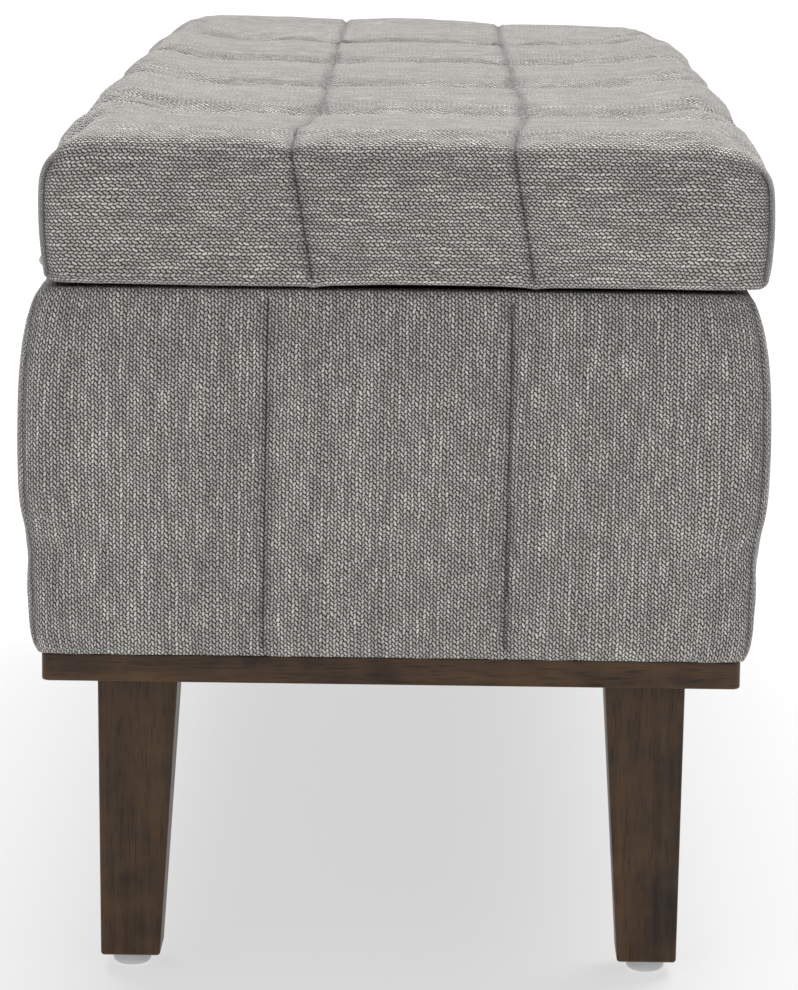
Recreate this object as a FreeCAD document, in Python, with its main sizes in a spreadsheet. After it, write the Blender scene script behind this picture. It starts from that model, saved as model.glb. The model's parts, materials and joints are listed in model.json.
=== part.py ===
"""Upholstered storage bench: a padded box on four tapered legs, with a hinged, tufted lid.

Millimetres, +Z up. The origin is on the floor, at the middle of the bench. The length runs along Y,
and the front of the bench, where the lid opens, faces +X.
"""
import FreeCAD
import Part
import math
import os
import Sketcher

doc = FreeCAD.newDocument("storage_bench")
sheet = doc.addObject("Spreadsheet::Sheet", "dims")

drivingDimensions = {
    # box (carcass of boards, then foam, then fabric)
    "boxShift": -0.75,
    "carcassWidth": 380.0,
    "carcassLength": 1090.0,
    "carcassHeight": 203.6,
    "boardThickness": 12.0,
    "sidePadEdge": 8.3,
    "sidePadBulge": 7.4,
    "endPadEdge": 6.8,
    "endPadBulge": 5.0,
    "fabricThickness": 1.2,
    "softGap": 0.3,
    "rimWidth": 13.0,
    "hemWidth": 30.0,
    "liningThickness": 1.0,
    "blockSize": 26.0,
    "blockHeight": 62.0,
    # wooden base frame
    "railThickness": 16.0,
    "baseWidth": 392.0,
    "baseLength": 1102.0,
    "endRailWidth": 85.0,
    "longRailWidth": 60.0,
    "railCorner": 5.0,
    "railEase": 1.2,
    # legs and glides
    "legHeight": 168.5,
    "legTopSize": 46.0,
    "legFootSize": 34.0,
    "legOuterTaper": 1.5,
    "legInset": 29.0,
    "legEase": 2.0,
    "glideHeight": 8.0,
    "glideRadius": 11.0,
    "nailRadius": 1.2,
    "nailLength": 18.0,
    "legBoltRadius": 4.0,
    "legBoltDepth": 40.0,
    # lid
    "lidShift": 5.25,
    "lidLength": 1118.0,
    "lidWidth": 406.0,
    "lidHeight": 81.5,
    "lidGap": 3.3,
    "lidCorner": 18.0,
    "lidTopRound": 22.0,
    "lidBottomRound": 8.0,
    "lidBoardWidth": 384.0,
    "lidBoardLength": 1096.0,
    "tuftDepth": 12.0,
    "tuftRadius": 16.0,
    "twineRadius": 0.8,
    "washerRadius": 9.0,
    "washerThickness": 2.0,
    "bumperRadius": 5.0,
    "bumperHeight": 3.0,
    # hinges
    "hingeLength": 76.0,
    "hingeOffset": 400.0,
    "knuckleRadius": 3.5,
    "hingePinRadius": 1.5,
    "hingePlay": 0.05,
    "leafThickness": 1.3,
    "leafWidth": 23.0,
    # folding stays
    "stayReach": 110.0,
    "stayDrop": 11.85,
    "stayBackOffset": 40.0,
    "armWidth": 14.0,
    "armThickness": 2.0,
    "stayPinRadius": 3.0,
    # wood screws
    "screwRadius": 2.0,
    "hingeScrewRadius": 1.5,
}
for row, (alias, value) in enumerate(drivingDimensions.items(), start=1):
    sheet.set(f"A{row}", alias)
    sheet.set(f"B{row}", str(value))
    sheet.setAlias(f"B{row}", alias)
doc.recompute()


def dim(alias):
    """One driving dimension, read back from the sheet."""
    return float(sheet.get(alias))


# ---- levels and faces that several pieces share ---------------------------------------------
legTop = dim("glideHeight") + dim("legHeight")
railTop = legTop + dim("railThickness")
carcassBottom = railTop + dim("fabricThickness") + 0.2
carcassTop = carcassBottom + dim("carcassHeight")
rimTop = carcassTop + dim("fabricThickness")
lidBottom = rimTop + dim("lidGap")
lidTop = lidBottom + dim("lidHeight")
boardBottom = lidBottom + dim("fabricThickness") + 0.2
boardTop = boardBottom + dim("boardThickness")
carcassBack = dim("boxShift") - dim("carcassWidth") / 2
carcassFront = dim("boxShift") + dim("carcassWidth") / 2
innerBack = carcassBack + dim("boardThickness")
innerFront = carcassFront - dim("boardThickness")
endOuter = dim("carcassLength") / 2
endInner = endOuter - dim("boardThickness")
hingeX = carcassBack - 14.0
hingeZ = rimTop + dim("lidGap") / 2

levels = {
    "legTopZ": legTop,
    "railTopZ": railTop,
    "carcassBottomZ": carcassBottom,
    "carcassTopZ": carcassTop,
    "rimTopZ": rimTop,
    "lidBottomZ": lidBottom,
    "boardBottomZ": boardBottom,
    "boardTopZ": boardTop,
    "carcassBackX": carcassBack,
    "innerBackX": innerBack,
    "endOuterY": endOuter,
    "endInnerY": endInner,
}
firstLevelRow = len(drivingDimensions) + 2
for row, (alias, value) in enumerate(levels.items(), start=firstLevelRow):
    sheet.set(f"A{row}", alias)
    sheet.set(f"B{row}", repr(round(value, 4)))
    sheet.setAlias(f"B{row}", alias)
doc.recompute()

subParts = []


def keep(obj, label):
    """Name a finished sub-part and put it on the list that is written out."""
    obj.Label = label
    subParts.append(obj)
    return obj


# ---- small builders ----------------------------------------------------------------------------
def bind(obj, path, expression):
    """Bind one property to the sheet, or set it where the value is a plain number."""
    obj.setExpression(path, str(expression))


def block(name, size, corner):
    """A box from three size expressions and the three expressions of its lowest corner."""
    obj = doc.addObject("Part::Box", name)
    for prop, expression in zip(("Length", "Width", "Height"), size):
        bind(obj, prop, expression)
    for axis, expression in zip("xyz", corner):
        bind(obj, f"Placement.Base.{axis}", expression)
    return obj


def rod(name, radius, length, base, direction=(0, 0, 1)):
    """A cylinder from its base centre along a direction."""
    obj = doc.addObject("Part::Cylinder", name)
    bind(obj, "Radius", radius)
    bind(obj, "Height", length)
    turn = FreeCAD.Rotation(FreeCAD.Vector(0, 0, 1), FreeCAD.Vector(*direction))
    obj.Placement = FreeCAD.Placement(FreeCAD.Vector(*base), turn)
    return obj


def boolean(kind, name, *shapes):
    """Part::Cut of two objects, or a MultiFuse or MultiCommon of several."""
    obj = doc.addObject(kind, name)
    if kind == "Part::Cut":
        obj.Base, obj.Tool = shapes
    else:
        obj.Shapes = list(shapes)
    return obj


def solidGroup(name, shapes):
    """Separate solids that share one node."""
    obj = doc.addObject("Part::Feature", name)
    obj.Shape = Part.makeCompound(shapes)
    return obj


def cylinderShape(radius, length, base, direction=(0, 0, 1)):
    return Part.makeCylinder(radius, length, FreeCAD.Vector(*base), FreeCAD.Vector(*direction))


def screwShape(radius, length, tip, direction, headRadius, headHeight):
    """A countersunk screw: a shank that runs along direction from a flush conical head at tip."""
    start = FreeCAD.Vector(*tip)
    along = FreeCAD.Vector(*direction)
    head = Part.makeCone(headRadius, radius, headHeight, start, along)
    shank = Part.makeCylinder(radius, length - headHeight, start + along * headHeight, along)
    return head.fuse(shank).removeSplitter()


def holesFor(name, screws, play=0.05):
    """The matching countersunk holes, a little wider than the screws."""
    tools = []
    for radius, length, tip, direction, headRadius, headHeight in screws:
        lead = FreeCAD.Vector(*tip) - FreeCAD.Vector(*direction) * play
        wideHead = headRadius + 4 * play
        hole = screwShape(radius + play, length + 2 * play, tuple(lead), direction, wideHead, headHeight)
        tools.append(hole)
    return solidGroup(name, tools)


def originPlane(body, role):
    return next(f for f in body.Origin.OriginFeatures if f.Role == role)


def outlineSketch(body, name, corners, height="0"):
    """A closed polygon on the body's XY plane, each corner held by two bound distances."""
    sketch = body.newObject("Sketcher::SketchObject", name)
    sketch.AttachmentSupport = [(originPlane(body, "XY_Plane"), "")]
    sketch.MapMode = "FlatFace"
    bind(sketch, "AttachmentOffset.Base.z", height)
    points = [(valueOf(x), valueOf(y)) for x, y in corners]
    count = len(points)
    for i in range(count):
        start, end = points[i], points[(i + 1) % count]
        sketch.addGeometry(Part.LineSegment(FreeCAD.Vector(*start, 0), FreeCAD.Vector(*end, 0)))
    for i in range(count):
        sketch.addConstraint(Sketcher.Constraint("Coincident", i, 2, (i + 1) % count, 1))
    for i, (x, y) in enumerate(corners):
        for kind, text, value in (("DistanceX", x, points[i][0]), ("DistanceY", y, points[i][1])):
            index = sketch.addConstraint(Sketcher.Constraint(kind, -1, 1, i, 1, value))
            bind(sketch, f"Constraints[{index}]", text)
    return sketch


def valueOf(expression):
    """The present value of a sheet expression."""
    names = {**drivingDimensions, **levels}
    text = str(expression).replace("dims.", "")
    for alias in sorted(names, key=len, reverse=True):
        text = text.replace(alias, repr(names[alias]))
    return FreeCAD.Units.Quantity(text).Value


def edgesWhere(obj, test):
    return [f"Edge{i}" for i, edge in enumerate(obj.Shape.Edges, start=1) if test(edge)]


def isUpright(edge):
    box = edge.BoundBox
    return box.XLength < 0.01 and box.YLength < 0.01


def roundEdges(body, base, name, radius, test):
    """A PartDesign fillet on the edges of the last feature that pass a test."""
    doc.recompute()
    fillet = body.newObject("PartDesign::Fillet", name)
    fillet.Base = (base, edgesWhere(base, test))
    bind(fillet, "Radius", radius)
    doc.recompute()
    return fillet


def paddedPlate(name, corners, height, bottom):
    """A body with one padded outline."""
    body = doc.addObject("PartDesign::Body", name)
    sketch = outlineSketch(body, f"{name}_outline", corners, bottom)
    pad = body.newObject("PartDesign::Pad", f"{name}_pad")
    pad.Profile = sketch
    bind(pad, "Length", height)
    doc.recompute()
    return body, pad


def rectangle(xLow, xHigh, yLow, yHigh):
    return [(xLow, yLow), (xHigh, yLow), (xHigh, yHigh), (xLow, yHigh)]


# ---- box: boards ---------------------------------------------------------------------------------
endMiddle = endOuter - dim("boardThickness") / 2
panelScrewLength = 38.0
panelScrews = []
for side in (-1, 1):
    for end in (-1, 1):
        for level in (0.15, 0.5, 0.85):
            faceX = dim("boxShift") + side * dim("carcassWidth") / 2
            tip = (faceX, end * endMiddle, carcassBottom + level * dim("carcassHeight"))
            panelScrews.append((dim("screwRadius"), panelScrewLength, tip, (-side, 0, 0), 4.0, 2.4))

hingeCentres = (-dim("hingeOffset"), 0.0, dim("hingeOffset"))
hingeScrewX = carcassBack + dim("boardThickness") / 2
leafTopZ = rimTop + 0.05 + dim("leafThickness")
hingeScrewSpots = [y + step for y in hingeCentres for step in (-28.0, 0.0, 28.0)]
hingeBoxScrews = [
    (dim("hingeScrewRadius"), 18.0, (hingeScrewX, y, leafTopZ), (0, 0, -1), 2.9, 1.3)
    for y in hingeScrewSpots
]
upperLeafZ = lidBottom - 0.05 - dim("leafThickness")
hingeLidScrews = [
    (dim("hingeScrewRadius"), 12.0, (hingeScrewX, y, upperLeafZ), (0, 0, 1), 2.9, 1.3)
    for y in hingeScrewSpots
]

# stay geometry: hinge axis O, lid pivot P, box pivot Q and elbow E are the corners of a rhombus
reach = dim("stayReach")
pivotLid = (hingeX + math.sqrt(reach**2 - dim("stayDrop") ** 2), hingeZ - dim("stayDrop"))
pivotBox = (hingeX + dim("stayBackOffset"), hingeZ - math.sqrt(reach**2 - dim("stayBackOffset") ** 2))
elbow = (pivotLid[0] + pivotBox[0] - hingeX, pivotLid[1] + pivotBox[1] - hingeZ)
lowerArmTurn = math.degrees(math.atan2(elbow[1] - pivotBox[1], elbow[0] - pivotBox[0]))
upperArmTurn = math.degrees(math.atan2(pivotLid[1] - elbow[1], pivotLid[0] - elbow[0]))
wallFace = endInner - dim("liningThickness") - 0.1
armGap = 0.3
lowerArmLayer = wallFace - 2.0 - armGap
upperArmLayer = lowerArmLayer - dim("armThickness") - armGap
bracketLayer = upperArmLayer - dim("armThickness") - armGap

stayBoxScrews = []
stayLidScrews = []
for end in (-1, 1):
    for rise in (-14.0, 14.0):
        tip = (pivotBox[0], end * (wallFace - 2.0), pivotBox[1] + rise)
        stayBoxScrews.append((dim("screwRadius"), 12.0, tip, (0, end, 0), 3.6, 1.8))
    for step in (-13.0, 13.0):
        tip = (pivotLid[0] + step, end * (bracketLayer - 12.0), lidBottom - 2.05)
        stayLidScrews.append((dim("screwRadius"), 12.0, tip, (0, 0, 1), 3.6, 1.8))

legSpots = {}
for frontName, side in (("front", 1), ("back", -1)):
    for endName, end in (("left", -1), ("right", 1)):
        outerX = dim("boxShift") + side * (dim("baseWidth") / 2 - dim("legInset"))
        outerY = end * (dim("baseLength") / 2 - dim("legInset"))
        legSpots[f"{frontName}_{endName}"] = (side, end, outerX, outerY)

railScrews = []
for side in (-1, 1):
    for y in (-400.0, -200.0, 0.0, 200.0, 400.0):
        x = dim("boxShift") + side * (dim("carcassWidth") / 2 - dim("boardThickness") / 2)
        railScrews.append((dim("screwRadius"), panelScrewLength, (x, y, legTop), (0, 0, 1), 4.0, 2.4))
for end in (-1, 1):
    for x in (-70.0, 70.0):
        tip = (dim("boxShift") + x, end * endMiddle, legTop)
        railScrews.append((dim("screwRadius"), panelScrewLength, tip, (0, 0, 1), 4.0, 2.4))

panelBits = holesFor("panel_bits", panelScrews)
railBits = holesFor("rail_bits", railScrews)
stayBoxBits = holesFor("stay_box_bits", stayBoxScrews)
hingeBoxBits = holesFor("hinge_box_bits", hingeBoxScrews)
hingeLidBits = holesFor("hinge_lid_bits", hingeLidScrews)
stayLidBits = holesFor("stay_lid_bits", stayLidScrews)


def drilled(name, blank, *bits):
    """A piece with every set of bits cut out of it, one after another."""
    for number, bit in enumerate(bits, start=1):
        blank = boolean("Part::Cut", f"{name}_drilled_{number}", blank, bit)
    return keep(blank, name)


longPanel = ("dims.boardThickness", "dims.carcassLength", "dims.carcassHeight")
frontCorner = ("-dims.innerBackX + 2 * dims.boxShift", "-dims.endOuterY", "dims.carcassBottomZ")
backCorner = ("dims.carcassBackX", "-dims.endOuterY", "dims.carcassBottomZ")
frontBlank = block("front_panel_blank", longPanel, frontCorner)
drilled("front_panel", frontBlank, panelBits, railBits)
backBlank = block("back_panel_blank", longPanel, backCorner)
drilled("back_panel", backBlank, panelBits, railBits, hingeBoxBits)
endPanel = ("dims.carcassWidth - 2 * dims.boardThickness", "dims.boardThickness", "dims.carcassHeight")
for name, cornerY in (("left_end_panel", "-dims.endOuterY"), ("right_end_panel", "dims.endInnerY")):
    blank = block(f"{name}_blank", endPanel, ("dims.innerBackX", cornerY, "dims.carcassBottomZ"))
    drilled(name, blank, panelBits, railBits, stayBoxBits)
floorSize = (
    "dims.carcassWidth - 2 * dims.boardThickness",
    "2 * dims.endInnerY",
    "dims.boardThickness",
)
floorCorner = ("dims.innerBackX", "-dims.endInnerY", "dims.carcassBottomZ")
keep(block("bottom_board", floorSize, floorCorner), "bottom_panel")

blockShapes = []
side = dim("blockSize")
blockBase = carcassBottom + dim("boardThickness")
for x in (innerBack, innerFront - side):
    for y in (-endInner, endInner - side):
        corner = FreeCAD.Vector(x, y, blockBase)
        blockShapes.append(Part.makeBox(side, side, dim("blockHeight"), corner))
cornerBlocks = keep(solidGroup("corner_block_set", blockShapes), "corner_blocks")


# ---- box: foam and fabric ------------------------------------------------------------------------
def crownRadius(chord, rise):
    """The radius of the arc that rises by a given height over a chord."""
    return (chord**2 / 4 + rise**2) / (2 * rise)


def crownedBox(name, shrink, low, high):
    """A block whose four sides are shallow arcs in height: the padded box, less shrink all round."""
    halfWidth = dim("carcassWidth") / 2 + dim("sidePadEdge") + dim("sidePadBulge") + dim("fabricThickness")
    halfLength = endOuter + dim("endPadEdge") + dim("endPadBulge") + dim("fabricThickness")
    chord = rimTop - railTop
    middle = (rimTop + railTop) / 2
    sideRadius = crownRadius(chord, dim("sidePadBulge")) - shrink
    endRadius = crownRadius(chord, dim("endPadBulge")) - shrink
    centreX = dim("boxShift")
    blank = block(
        f"{name}_block",
        (2 * (halfWidth - shrink), 2 * (halfLength - shrink), high - low),
        (centreX - halfWidth + shrink, -halfLength + shrink, low),
    )
    drums = []
    for way in (-1, 1):
        axisX = centreX + way * (halfWidth - shrink - sideRadius)
        drums.append(
            rod(f"{name}_side_{way + 1}", sideRadius, 4 * endOuter, (axisX, -2 * endOuter, middle), (0, 1, 0))
        )
        axisY = way * (halfLength - shrink - endRadius)
        drums.append(
            rod(f"{name}_end_{way + 1}", endRadius, 4 * endOuter, (-2 * endOuter, axisY, middle), (1, 0, 0))
        )
    return boolean("Part::MultiCommon", name, blank, *drums)


coverOuter = crownedBox("box_cover_outer", 0.0, railTop, rimTop)
fabric = dim("fabricThickness")
coverInner = crownedBox("box_cover_inner", fabric, railTop + fabric, carcassTop)
mouthWidth = "2 * (-dims.carcassBackX + dims.boxShift - dims.rimWidth)"
coverMouth = block(
    "box_cover_mouth",
    (mouthWidth, "2 * (dims.endOuterY - dims.rimWidth)", 400.0),
    ("dims.carcassBackX + dims.rimWidth", "-dims.endOuterY + dims.rimWidth", 100.0),
)
coverShell = boolean("Part::Cut", "box_cover_shell", coverOuter, coverInner)
coverOpen = boolean("Part::Cut", "box_cover_open", coverShell, coverMouth)
drilled("box_cover", coverOpen, hingeBoxBits, railBits)

padStock = crownedBox("pad_stock", fabric + dim("softGap"), carcassBottom, carcassTop - dim("softGap"))
padGap = 0.1
sideSlab = (40.0, 4 * endOuter, "dims.carcassHeight")
endSlab = ("dims.carcassWidth", 40.0, "dims.carcassHeight")
padSlabs = {
    "front_padding": (sideSlab, (carcassFront + padGap, -2 * endOuter, "dims.carcassBottomZ")),
    "back_padding": (sideSlab, (carcassBack - padGap - 40.0, -2 * endOuter, "dims.carcassBottomZ")),
    "left_end_padding": (endSlab, ("dims.carcassBackX", -endOuter - padGap - 40.0, "dims.carcassBottomZ")),
    "right_end_padding": (endSlab, ("dims.carcassBackX", endOuter + padGap, "dims.carcassBottomZ")),
}
for name, (size, corner) in padSlabs.items():
    slab = block(f"{name}_slab", size, corner)
    keep(boolean("Part::MultiCommon", f"{name}_foam", padStock, slab), name)

# ---- box: lining -----------------------------------------------------------------------------------
liningGap = 0.1
liningLow = blockBase + dim("blockHeight") + liningGap
liningOuter = block(
    "lining_outer",
    (innerFront - innerBack - 2 * liningGap, 2 * (endInner - liningGap), carcassTop - liningLow),
    (innerBack + liningGap, -endInner + liningGap, liningLow),
)
liningInset = liningGap + dim("liningThickness")
liningInner = block(
    "lining_inner",
    (innerFront - innerBack - 2 * liningInset, 2 * (endInner - liningInset), carcassTop - liningLow),
    (innerBack + liningInset, -endInner + liningInset, liningLow),
)
liningLoop = boolean("Part::Cut", "lining_loop", liningOuter, liningInner)
drilled("wall_lining", liningLoop, stayBoxBits)
floorBlank = block(
    "floor_lining_blank",
    (innerFront - innerBack - 2 * liningGap, 2 * (endInner - liningGap), "dims.liningThickness"),
    (innerBack + liningGap, -endInner + liningGap, blockBase + 0.05),
)
cornerBits = solidGroup("corner_bits", [shape.makeOffsetShape(0.2, 0.01) for shape in blockShapes])
drilled("floor_lining", floorBlank, cornerBits)
dustSize = (
    "dims.baseWidth - 2 * dims.longRailWidth - 1",
    "dims.baseLength - 2 * dims.endRailWidth - 1",
    0.8,
)
dustCorner = (
    "dims.boxShift - dims.baseWidth / 2 + dims.longRailWidth + 0.5",
    "-dims.baseLength / 2 + dims.endRailWidth + 0.5",
    carcassBottom - 0.85,
)
keep(block("bottom_dust_sheet", dustSize, dustCorner), "bottom_dust_cover")

# ---- wooden base frame ---------------------------------------------------------------------------
teeNutRadius = 5.5
teeFlangeRadius = 9.5
teeFlangeHeight = 1.2
boltSpots = []
for side, end, outerX, outerY in legSpots.values():
    half = dim("legTopSize") / 2
    boltSpots.append((outerX - side * half, outerY - end * half))
teeBits = solidGroup(
    "tee_nut_bits",
    [cylinderShape(teeNutRadius + 0.05, 40.0, (x, y, legTop - 10.0)) for x, y in boltSpots]
    + [
        cylinderShape(teeFlangeRadius + 0.1, 5.0, (x, y, railTop - teeFlangeHeight - 0.05))
        for x, y in boltSpots
    ],
)
baseBack = "dims.boxShift - dims.baseWidth / 2"
baseFront = "dims.boxShift + dims.baseWidth / 2"
baseEnd = "dims.baseLength / 2"
jointFace = "(dims.baseLength / 2 - dims.endRailWidth)"
longSpan = (f"-{jointFace} + 0.05", f"{jointFace} - 0.05")
railPlans = {
    "left_end_rail": rectangle(baseBack, baseFront, f"-{baseEnd}", f"-{jointFace}"),
    "right_end_rail": rectangle(baseBack, baseFront, jointFace, baseEnd),
    "front_rail": rectangle(f"{baseFront} - dims.longRailWidth", baseFront, *longSpan),
    "back_rail": rectangle(baseBack, f"{baseBack} + dims.longRailWidth", *longSpan),
}


def isOuterRailEdge(edge):
    """True for the long edges on the outside face of the base frame."""
    box = edge.BoundBox
    level = box.ZLength < 0.01
    onSide = min(abs(box.XMin - railBackFace), abs(box.XMax - railFrontFace)) < 0.01 and box.XLength < 0.01
    onEnd = abs(abs(box.YMin) - dim("baseLength") / 2) < 0.01 and box.YLength < 0.01
    return level and (onSide or onEnd)


railBackFace = dim("boxShift") - dim("baseWidth") / 2
railFrontFace = dim("boxShift") + dim("baseWidth") / 2
for name, plan in railPlans.items():
    body, feature = paddedPlate(f"{name}_body", plan, "dims.railThickness", "dims.legTopZ")
    if "end" in name:

        def isOuterCorner(edge):
            return isUpright(edge) and abs(abs(edge.BoundBox.YMin) - dim("baseLength") / 2) < 0.01

        feature = roundEdges(body, feature, f"{name}_corners", "dims.railCorner", isOuterCorner)
    feature = roundEdges(body, feature, f"{name}_eased", "dims.railEase", isOuterRailEdge)
    drilled(name, body, *([teeBits, railBits] if "end" in name else [railBits]))

# ---- legs, their bolts and glides ------------------------------------------------------------------
boltGap = 0.05
legBoltLow = legTop - dim("legBoltDepth")
legBoltHigh = railTop - 1.0
legBoltSpan = legBoltHigh - legBoltLow
legBoltBits = solidGroup(
    "leg_bolt_bits",
    [
        cylinderShape(dim("legBoltRadius") + boltGap, legBoltSpan + 1.0, (x, y, legBoltLow - 0.5))
        for x, y in boltSpots
    ],
)
glideSpots = []
for side, end, outerX, outerY in legSpots.values():
    middle = dim("legOuterTaper") + dim("legFootSize") / 2
    glideSpots.append((outerX - side * middle, outerY - end * middle))
nailTop = dim("glideHeight") + dim("nailLength")
nailBits = solidGroup(
    "nail_bits",
    [cylinderShape(dim("nailRadius") + 0.05, nailTop + 0.2 - 2.0, (x, y, 1.95)) for x, y in glideSpots],
)
for place, (side, end, outerX, outerY) in legSpots.items():
    name = f"leg_{place}"
    body = doc.addObject("PartDesign::Body", f"{name}_body")
    sections = []
    for level, height, size, taper in (
        ("top", "dims.legTopZ", "dims.legTopSize", "0"),
        ("foot", "dims.glideHeight", "dims.legFootSize", "dims.legOuterTaper"),
    ):
        faceX = f"dims.boxShift + {side} * (dims.baseWidth / 2 - dims.legInset - {taper})"
        faceY = f"{end} * (dims.baseLength / 2 - dims.legInset - {taper})"
        plan = rectangle(f"{faceX} - {side} * {size}", faceX, f"{faceY} - {end} * {size}", faceY)
        sections.append(outlineSketch(body, f"{name}_{level}", plan, height))
    doc.recompute()
    loft = body.newObject("PartDesign::AdditiveLoft", f"{name}_loft")
    loft.Profile = sections[0]
    loft.Sections = [sections[1]]
    loft.Ruled = True

    def isLegEdge(edge):
        return edge.BoundBox.ZLength > 10 or edge.BoundBox.ZMax < dim("glideHeight") + 0.01

    roundEdges(body, loft, f"{name}_eased", "dims.legEase", isLegEdge)
    drilled(name, body, legBoltBits, nailBits)

for (place, _), (x, y) in zip(legSpots.items(), glideSpots):
    name = f"glide_{place}"
    disc = rod(f"{name}_disc", "dims.glideRadius", "dims.glideHeight - 0.05", (x, y, 0))
    doc.recompute()
    dome = doc.addObject("Part::Fillet", f"{name}_dome")
    dome.Base = disc
    rims = [i for i, edge in enumerate(disc.Shape.Edges, start=1) if edge.BoundBox.ZMax < 0.01]
    dome.Edges = [(i, 3.5, 3.5) for i in rims]
    drilled(name, dome, nailBits)

nailShapes = []
for x, y in glideSpots:
    nailShapes.append(cylinderShape(dim("nailRadius"), nailTop - 2.0, (x, y, 2.0)))
keep(solidGroup("glide_nail_set", nailShapes), "glide_nails")
keep(
    solidGroup(
        "leg_bolt_set",
        [cylinderShape(dim("legBoltRadius"), legBoltSpan, (x, y, legBoltLow)) for x, y in boltSpots],
    ),
    "leg_bolts",
)
teeShapes = []
for x, y in boltSpots:
    flange = cylinderShape(teeFlangeRadius, teeFlangeHeight, (x, y, railTop - teeFlangeHeight))
    barrel = cylinderShape(teeNutRadius, 10.0, (x, y, railTop - 10.0))
    bore = cylinderShape(dim("legBoltRadius") + boltGap, 20.0, (x, y, railTop - 15.0))
    teeShapes.append(flange.fuse(barrel).cut(bore).removeSplitter())
keep(solidGroup("tee_nut_set", teeShapes), "tee_nuts")

for name, screws in (("panel_screws", panelScrews), ("rail_screws", railScrews)):
    keep(solidGroup(f"{name}_set", [screwShape(*screw) for screw in screws]), name)

# ---- lid -----------------------------------------------------------------------------------------
tuftColumns = [dim("lidShift") + way * dim("lidWidth") / 6 for way in (-1, 1)]
tuftRows = [step * dim("lidLength") / 5 for step in (-1.5, -0.5, 0.5, 1.5)]
tuftSpots = [(x, y) for x in tuftColumns for y in tuftRows]


def cushionBlock(name, shrink, low, high):
    """The lid's rounded block, less shrink on its sides, between two levels."""
    halfX = f"(dims.lidWidth / 2 - {shrink})"
    halfY = f"(dims.lidLength / 2 - {shrink})"
    plan = rectangle(f"dims.lidShift - {halfX}", f"dims.lidShift + {halfX}", f"-{halfY}", halfY)
    body, feature = paddedPlate(name, plan, high - low, low)
    feature = roundEdges(body, feature, f"{name}_corners", dim("lidCorner") - shrink, isUpright)


    def isTop(edge):
        return edge.BoundBox.ZMin > high - 0.01

    def isBottom(edge):
        return edge.BoundBox.ZMax < low + 0.01

    feature = roundEdges(body, feature, f"{name}_top", dim("lidTopRound") - shrink, isTop)
    roundEdges(body, feature, f"{name}_bottom", dim("lidBottomRound") - shrink, isBottom)
    return body


def dimpleBits(name, top, extra):
    """One cone for each tuft, pointing down into the cushion."""
    depth = dim("tuftDepth")
    cones = []
    for x, y in tuftSpots:
        start = FreeCAD.Vector(x, y, top - depth)
        cones.append(Part.makeCone(2.0 + extra, dim("tuftRadius") + extra, depth + 0.01, start))
    return solidGroup(name, cones)


coverGap = dim("fabricThickness")
lidOuter = cushionBlock("lid_outer", 0.0, lidBottom, lidTop)
lidInner = cushionBlock("lid_inner", coverGap, lidBottom + coverGap, lidTop - coverGap)
outerTufted = boolean("Part::Cut", "lid_outer_tufted", lidOuter, dimpleBits("outer_dimples", lidTop, 0.0))
innerDimples = dimpleBits("inner_dimples", lidTop - coverGap, 0.8)
innerTufted = boolean("Part::Cut", "lid_inner_tufted", lidInner, innerDimples)
lidShell = boolean("Part::Cut", "lid_shell", outerTufted, innerTufted)
hemBack = "dims.lidShift - dims.lidWidth / 2 + dims.hemWidth"
hemLeft = "-dims.lidLength / 2 + dims.hemWidth"
hemMouth = block(
    "lid_hem_mouth",
    ("dims.lidWidth - 2 * dims.hemWidth", "dims.lidLength - 2 * dims.hemWidth", 10.0),
    (hemBack, hemLeft, lidBottom - 5.0),
)
lidOpen = boolean("Part::Cut", "lid_cover_open", lidShell, hemMouth)
drilled("lid_cover", lidOpen, hingeLidBits)

foamGap = coverGap + dim("softGap")
foamBlock = cushionBlock("lid_foam_block", foamGap, boardBottom, lidTop - foamGap)
foamTufted = boolean(
    "Part::Cut", "lid_foam_tufted", foamBlock, dimpleBits("foam_dimples", lidTop - foamGap, 1.0)
)
boardGap = 0.1
boardPocket = block(
    "lid_board_pocket",
    (
        f"dims.lidBoardWidth + {2 * boardGap}",
        f"dims.lidBoardLength + {2 * boardGap}",
        f"dims.boardThickness + 20 + {boardGap}",
    ),
    (
        f"dims.lidShift - dims.lidBoardWidth / 2 - {boardGap}",
        f"-dims.lidBoardLength / 2 - {boardGap}",
        "dims.boardBottomZ - 20",
    ),
)
twineLow = boardBottom + dim("washerThickness") + 0.05
twineHigh = lidTop - dim("tuftDepth") - foamGap - 0.1
twineBits = solidGroup(
    "twine_bits",
    [cylinderShape(dim("twineRadius") + 0.7, 120.0, (x, y, boardBottom - 1.0)) for x, y in tuftSpots],
)
drilled("lid_foam", boolean("Part::Cut", "lid_foam_hollow", foamTufted, boardPocket), twineBits)
boardBlank = block(
    "lid_board_blank",
    ("dims.lidBoardWidth", "dims.lidBoardLength", "dims.boardThickness"),
    ("dims.lidShift - dims.lidBoardWidth / 2", "-dims.lidBoardLength / 2", "dims.boardBottomZ"),
)
washerBits = solidGroup(
    "washer_bits",
    [
        cylinderShape(dim("washerRadius") + 0.3, dim("washerThickness") + 0.3, (x, y, boardBottom - 0.25))
        for x, y in tuftSpots
    ],
)
drilled("lid_board", boardBlank, twineBits, washerBits, hingeLidBits, stayLidBits)
keep(
    solidGroup(
        "tuft_twine_set",
        [cylinderShape(dim("twineRadius"), twineHigh - twineLow, (x, y, twineLow)) for x, y in tuftSpots],
    ),
    "tuft_twines",
)
washerHeight = dim("washerThickness") - 0.05
keep(
    solidGroup(
        "tuft_washer_set",
        [cylinderShape(dim("washerRadius"), washerHeight, (x, y, boardBottom)) for x, y in tuftSpots],
    ),
    "tuft_washers",
)
lidDustWidth = "dims.lidWidth - 2 * dims.hemWidth - 0.6"
lidDustLength = "dims.lidLength - 2 * dims.hemWidth - 0.6"
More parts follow.
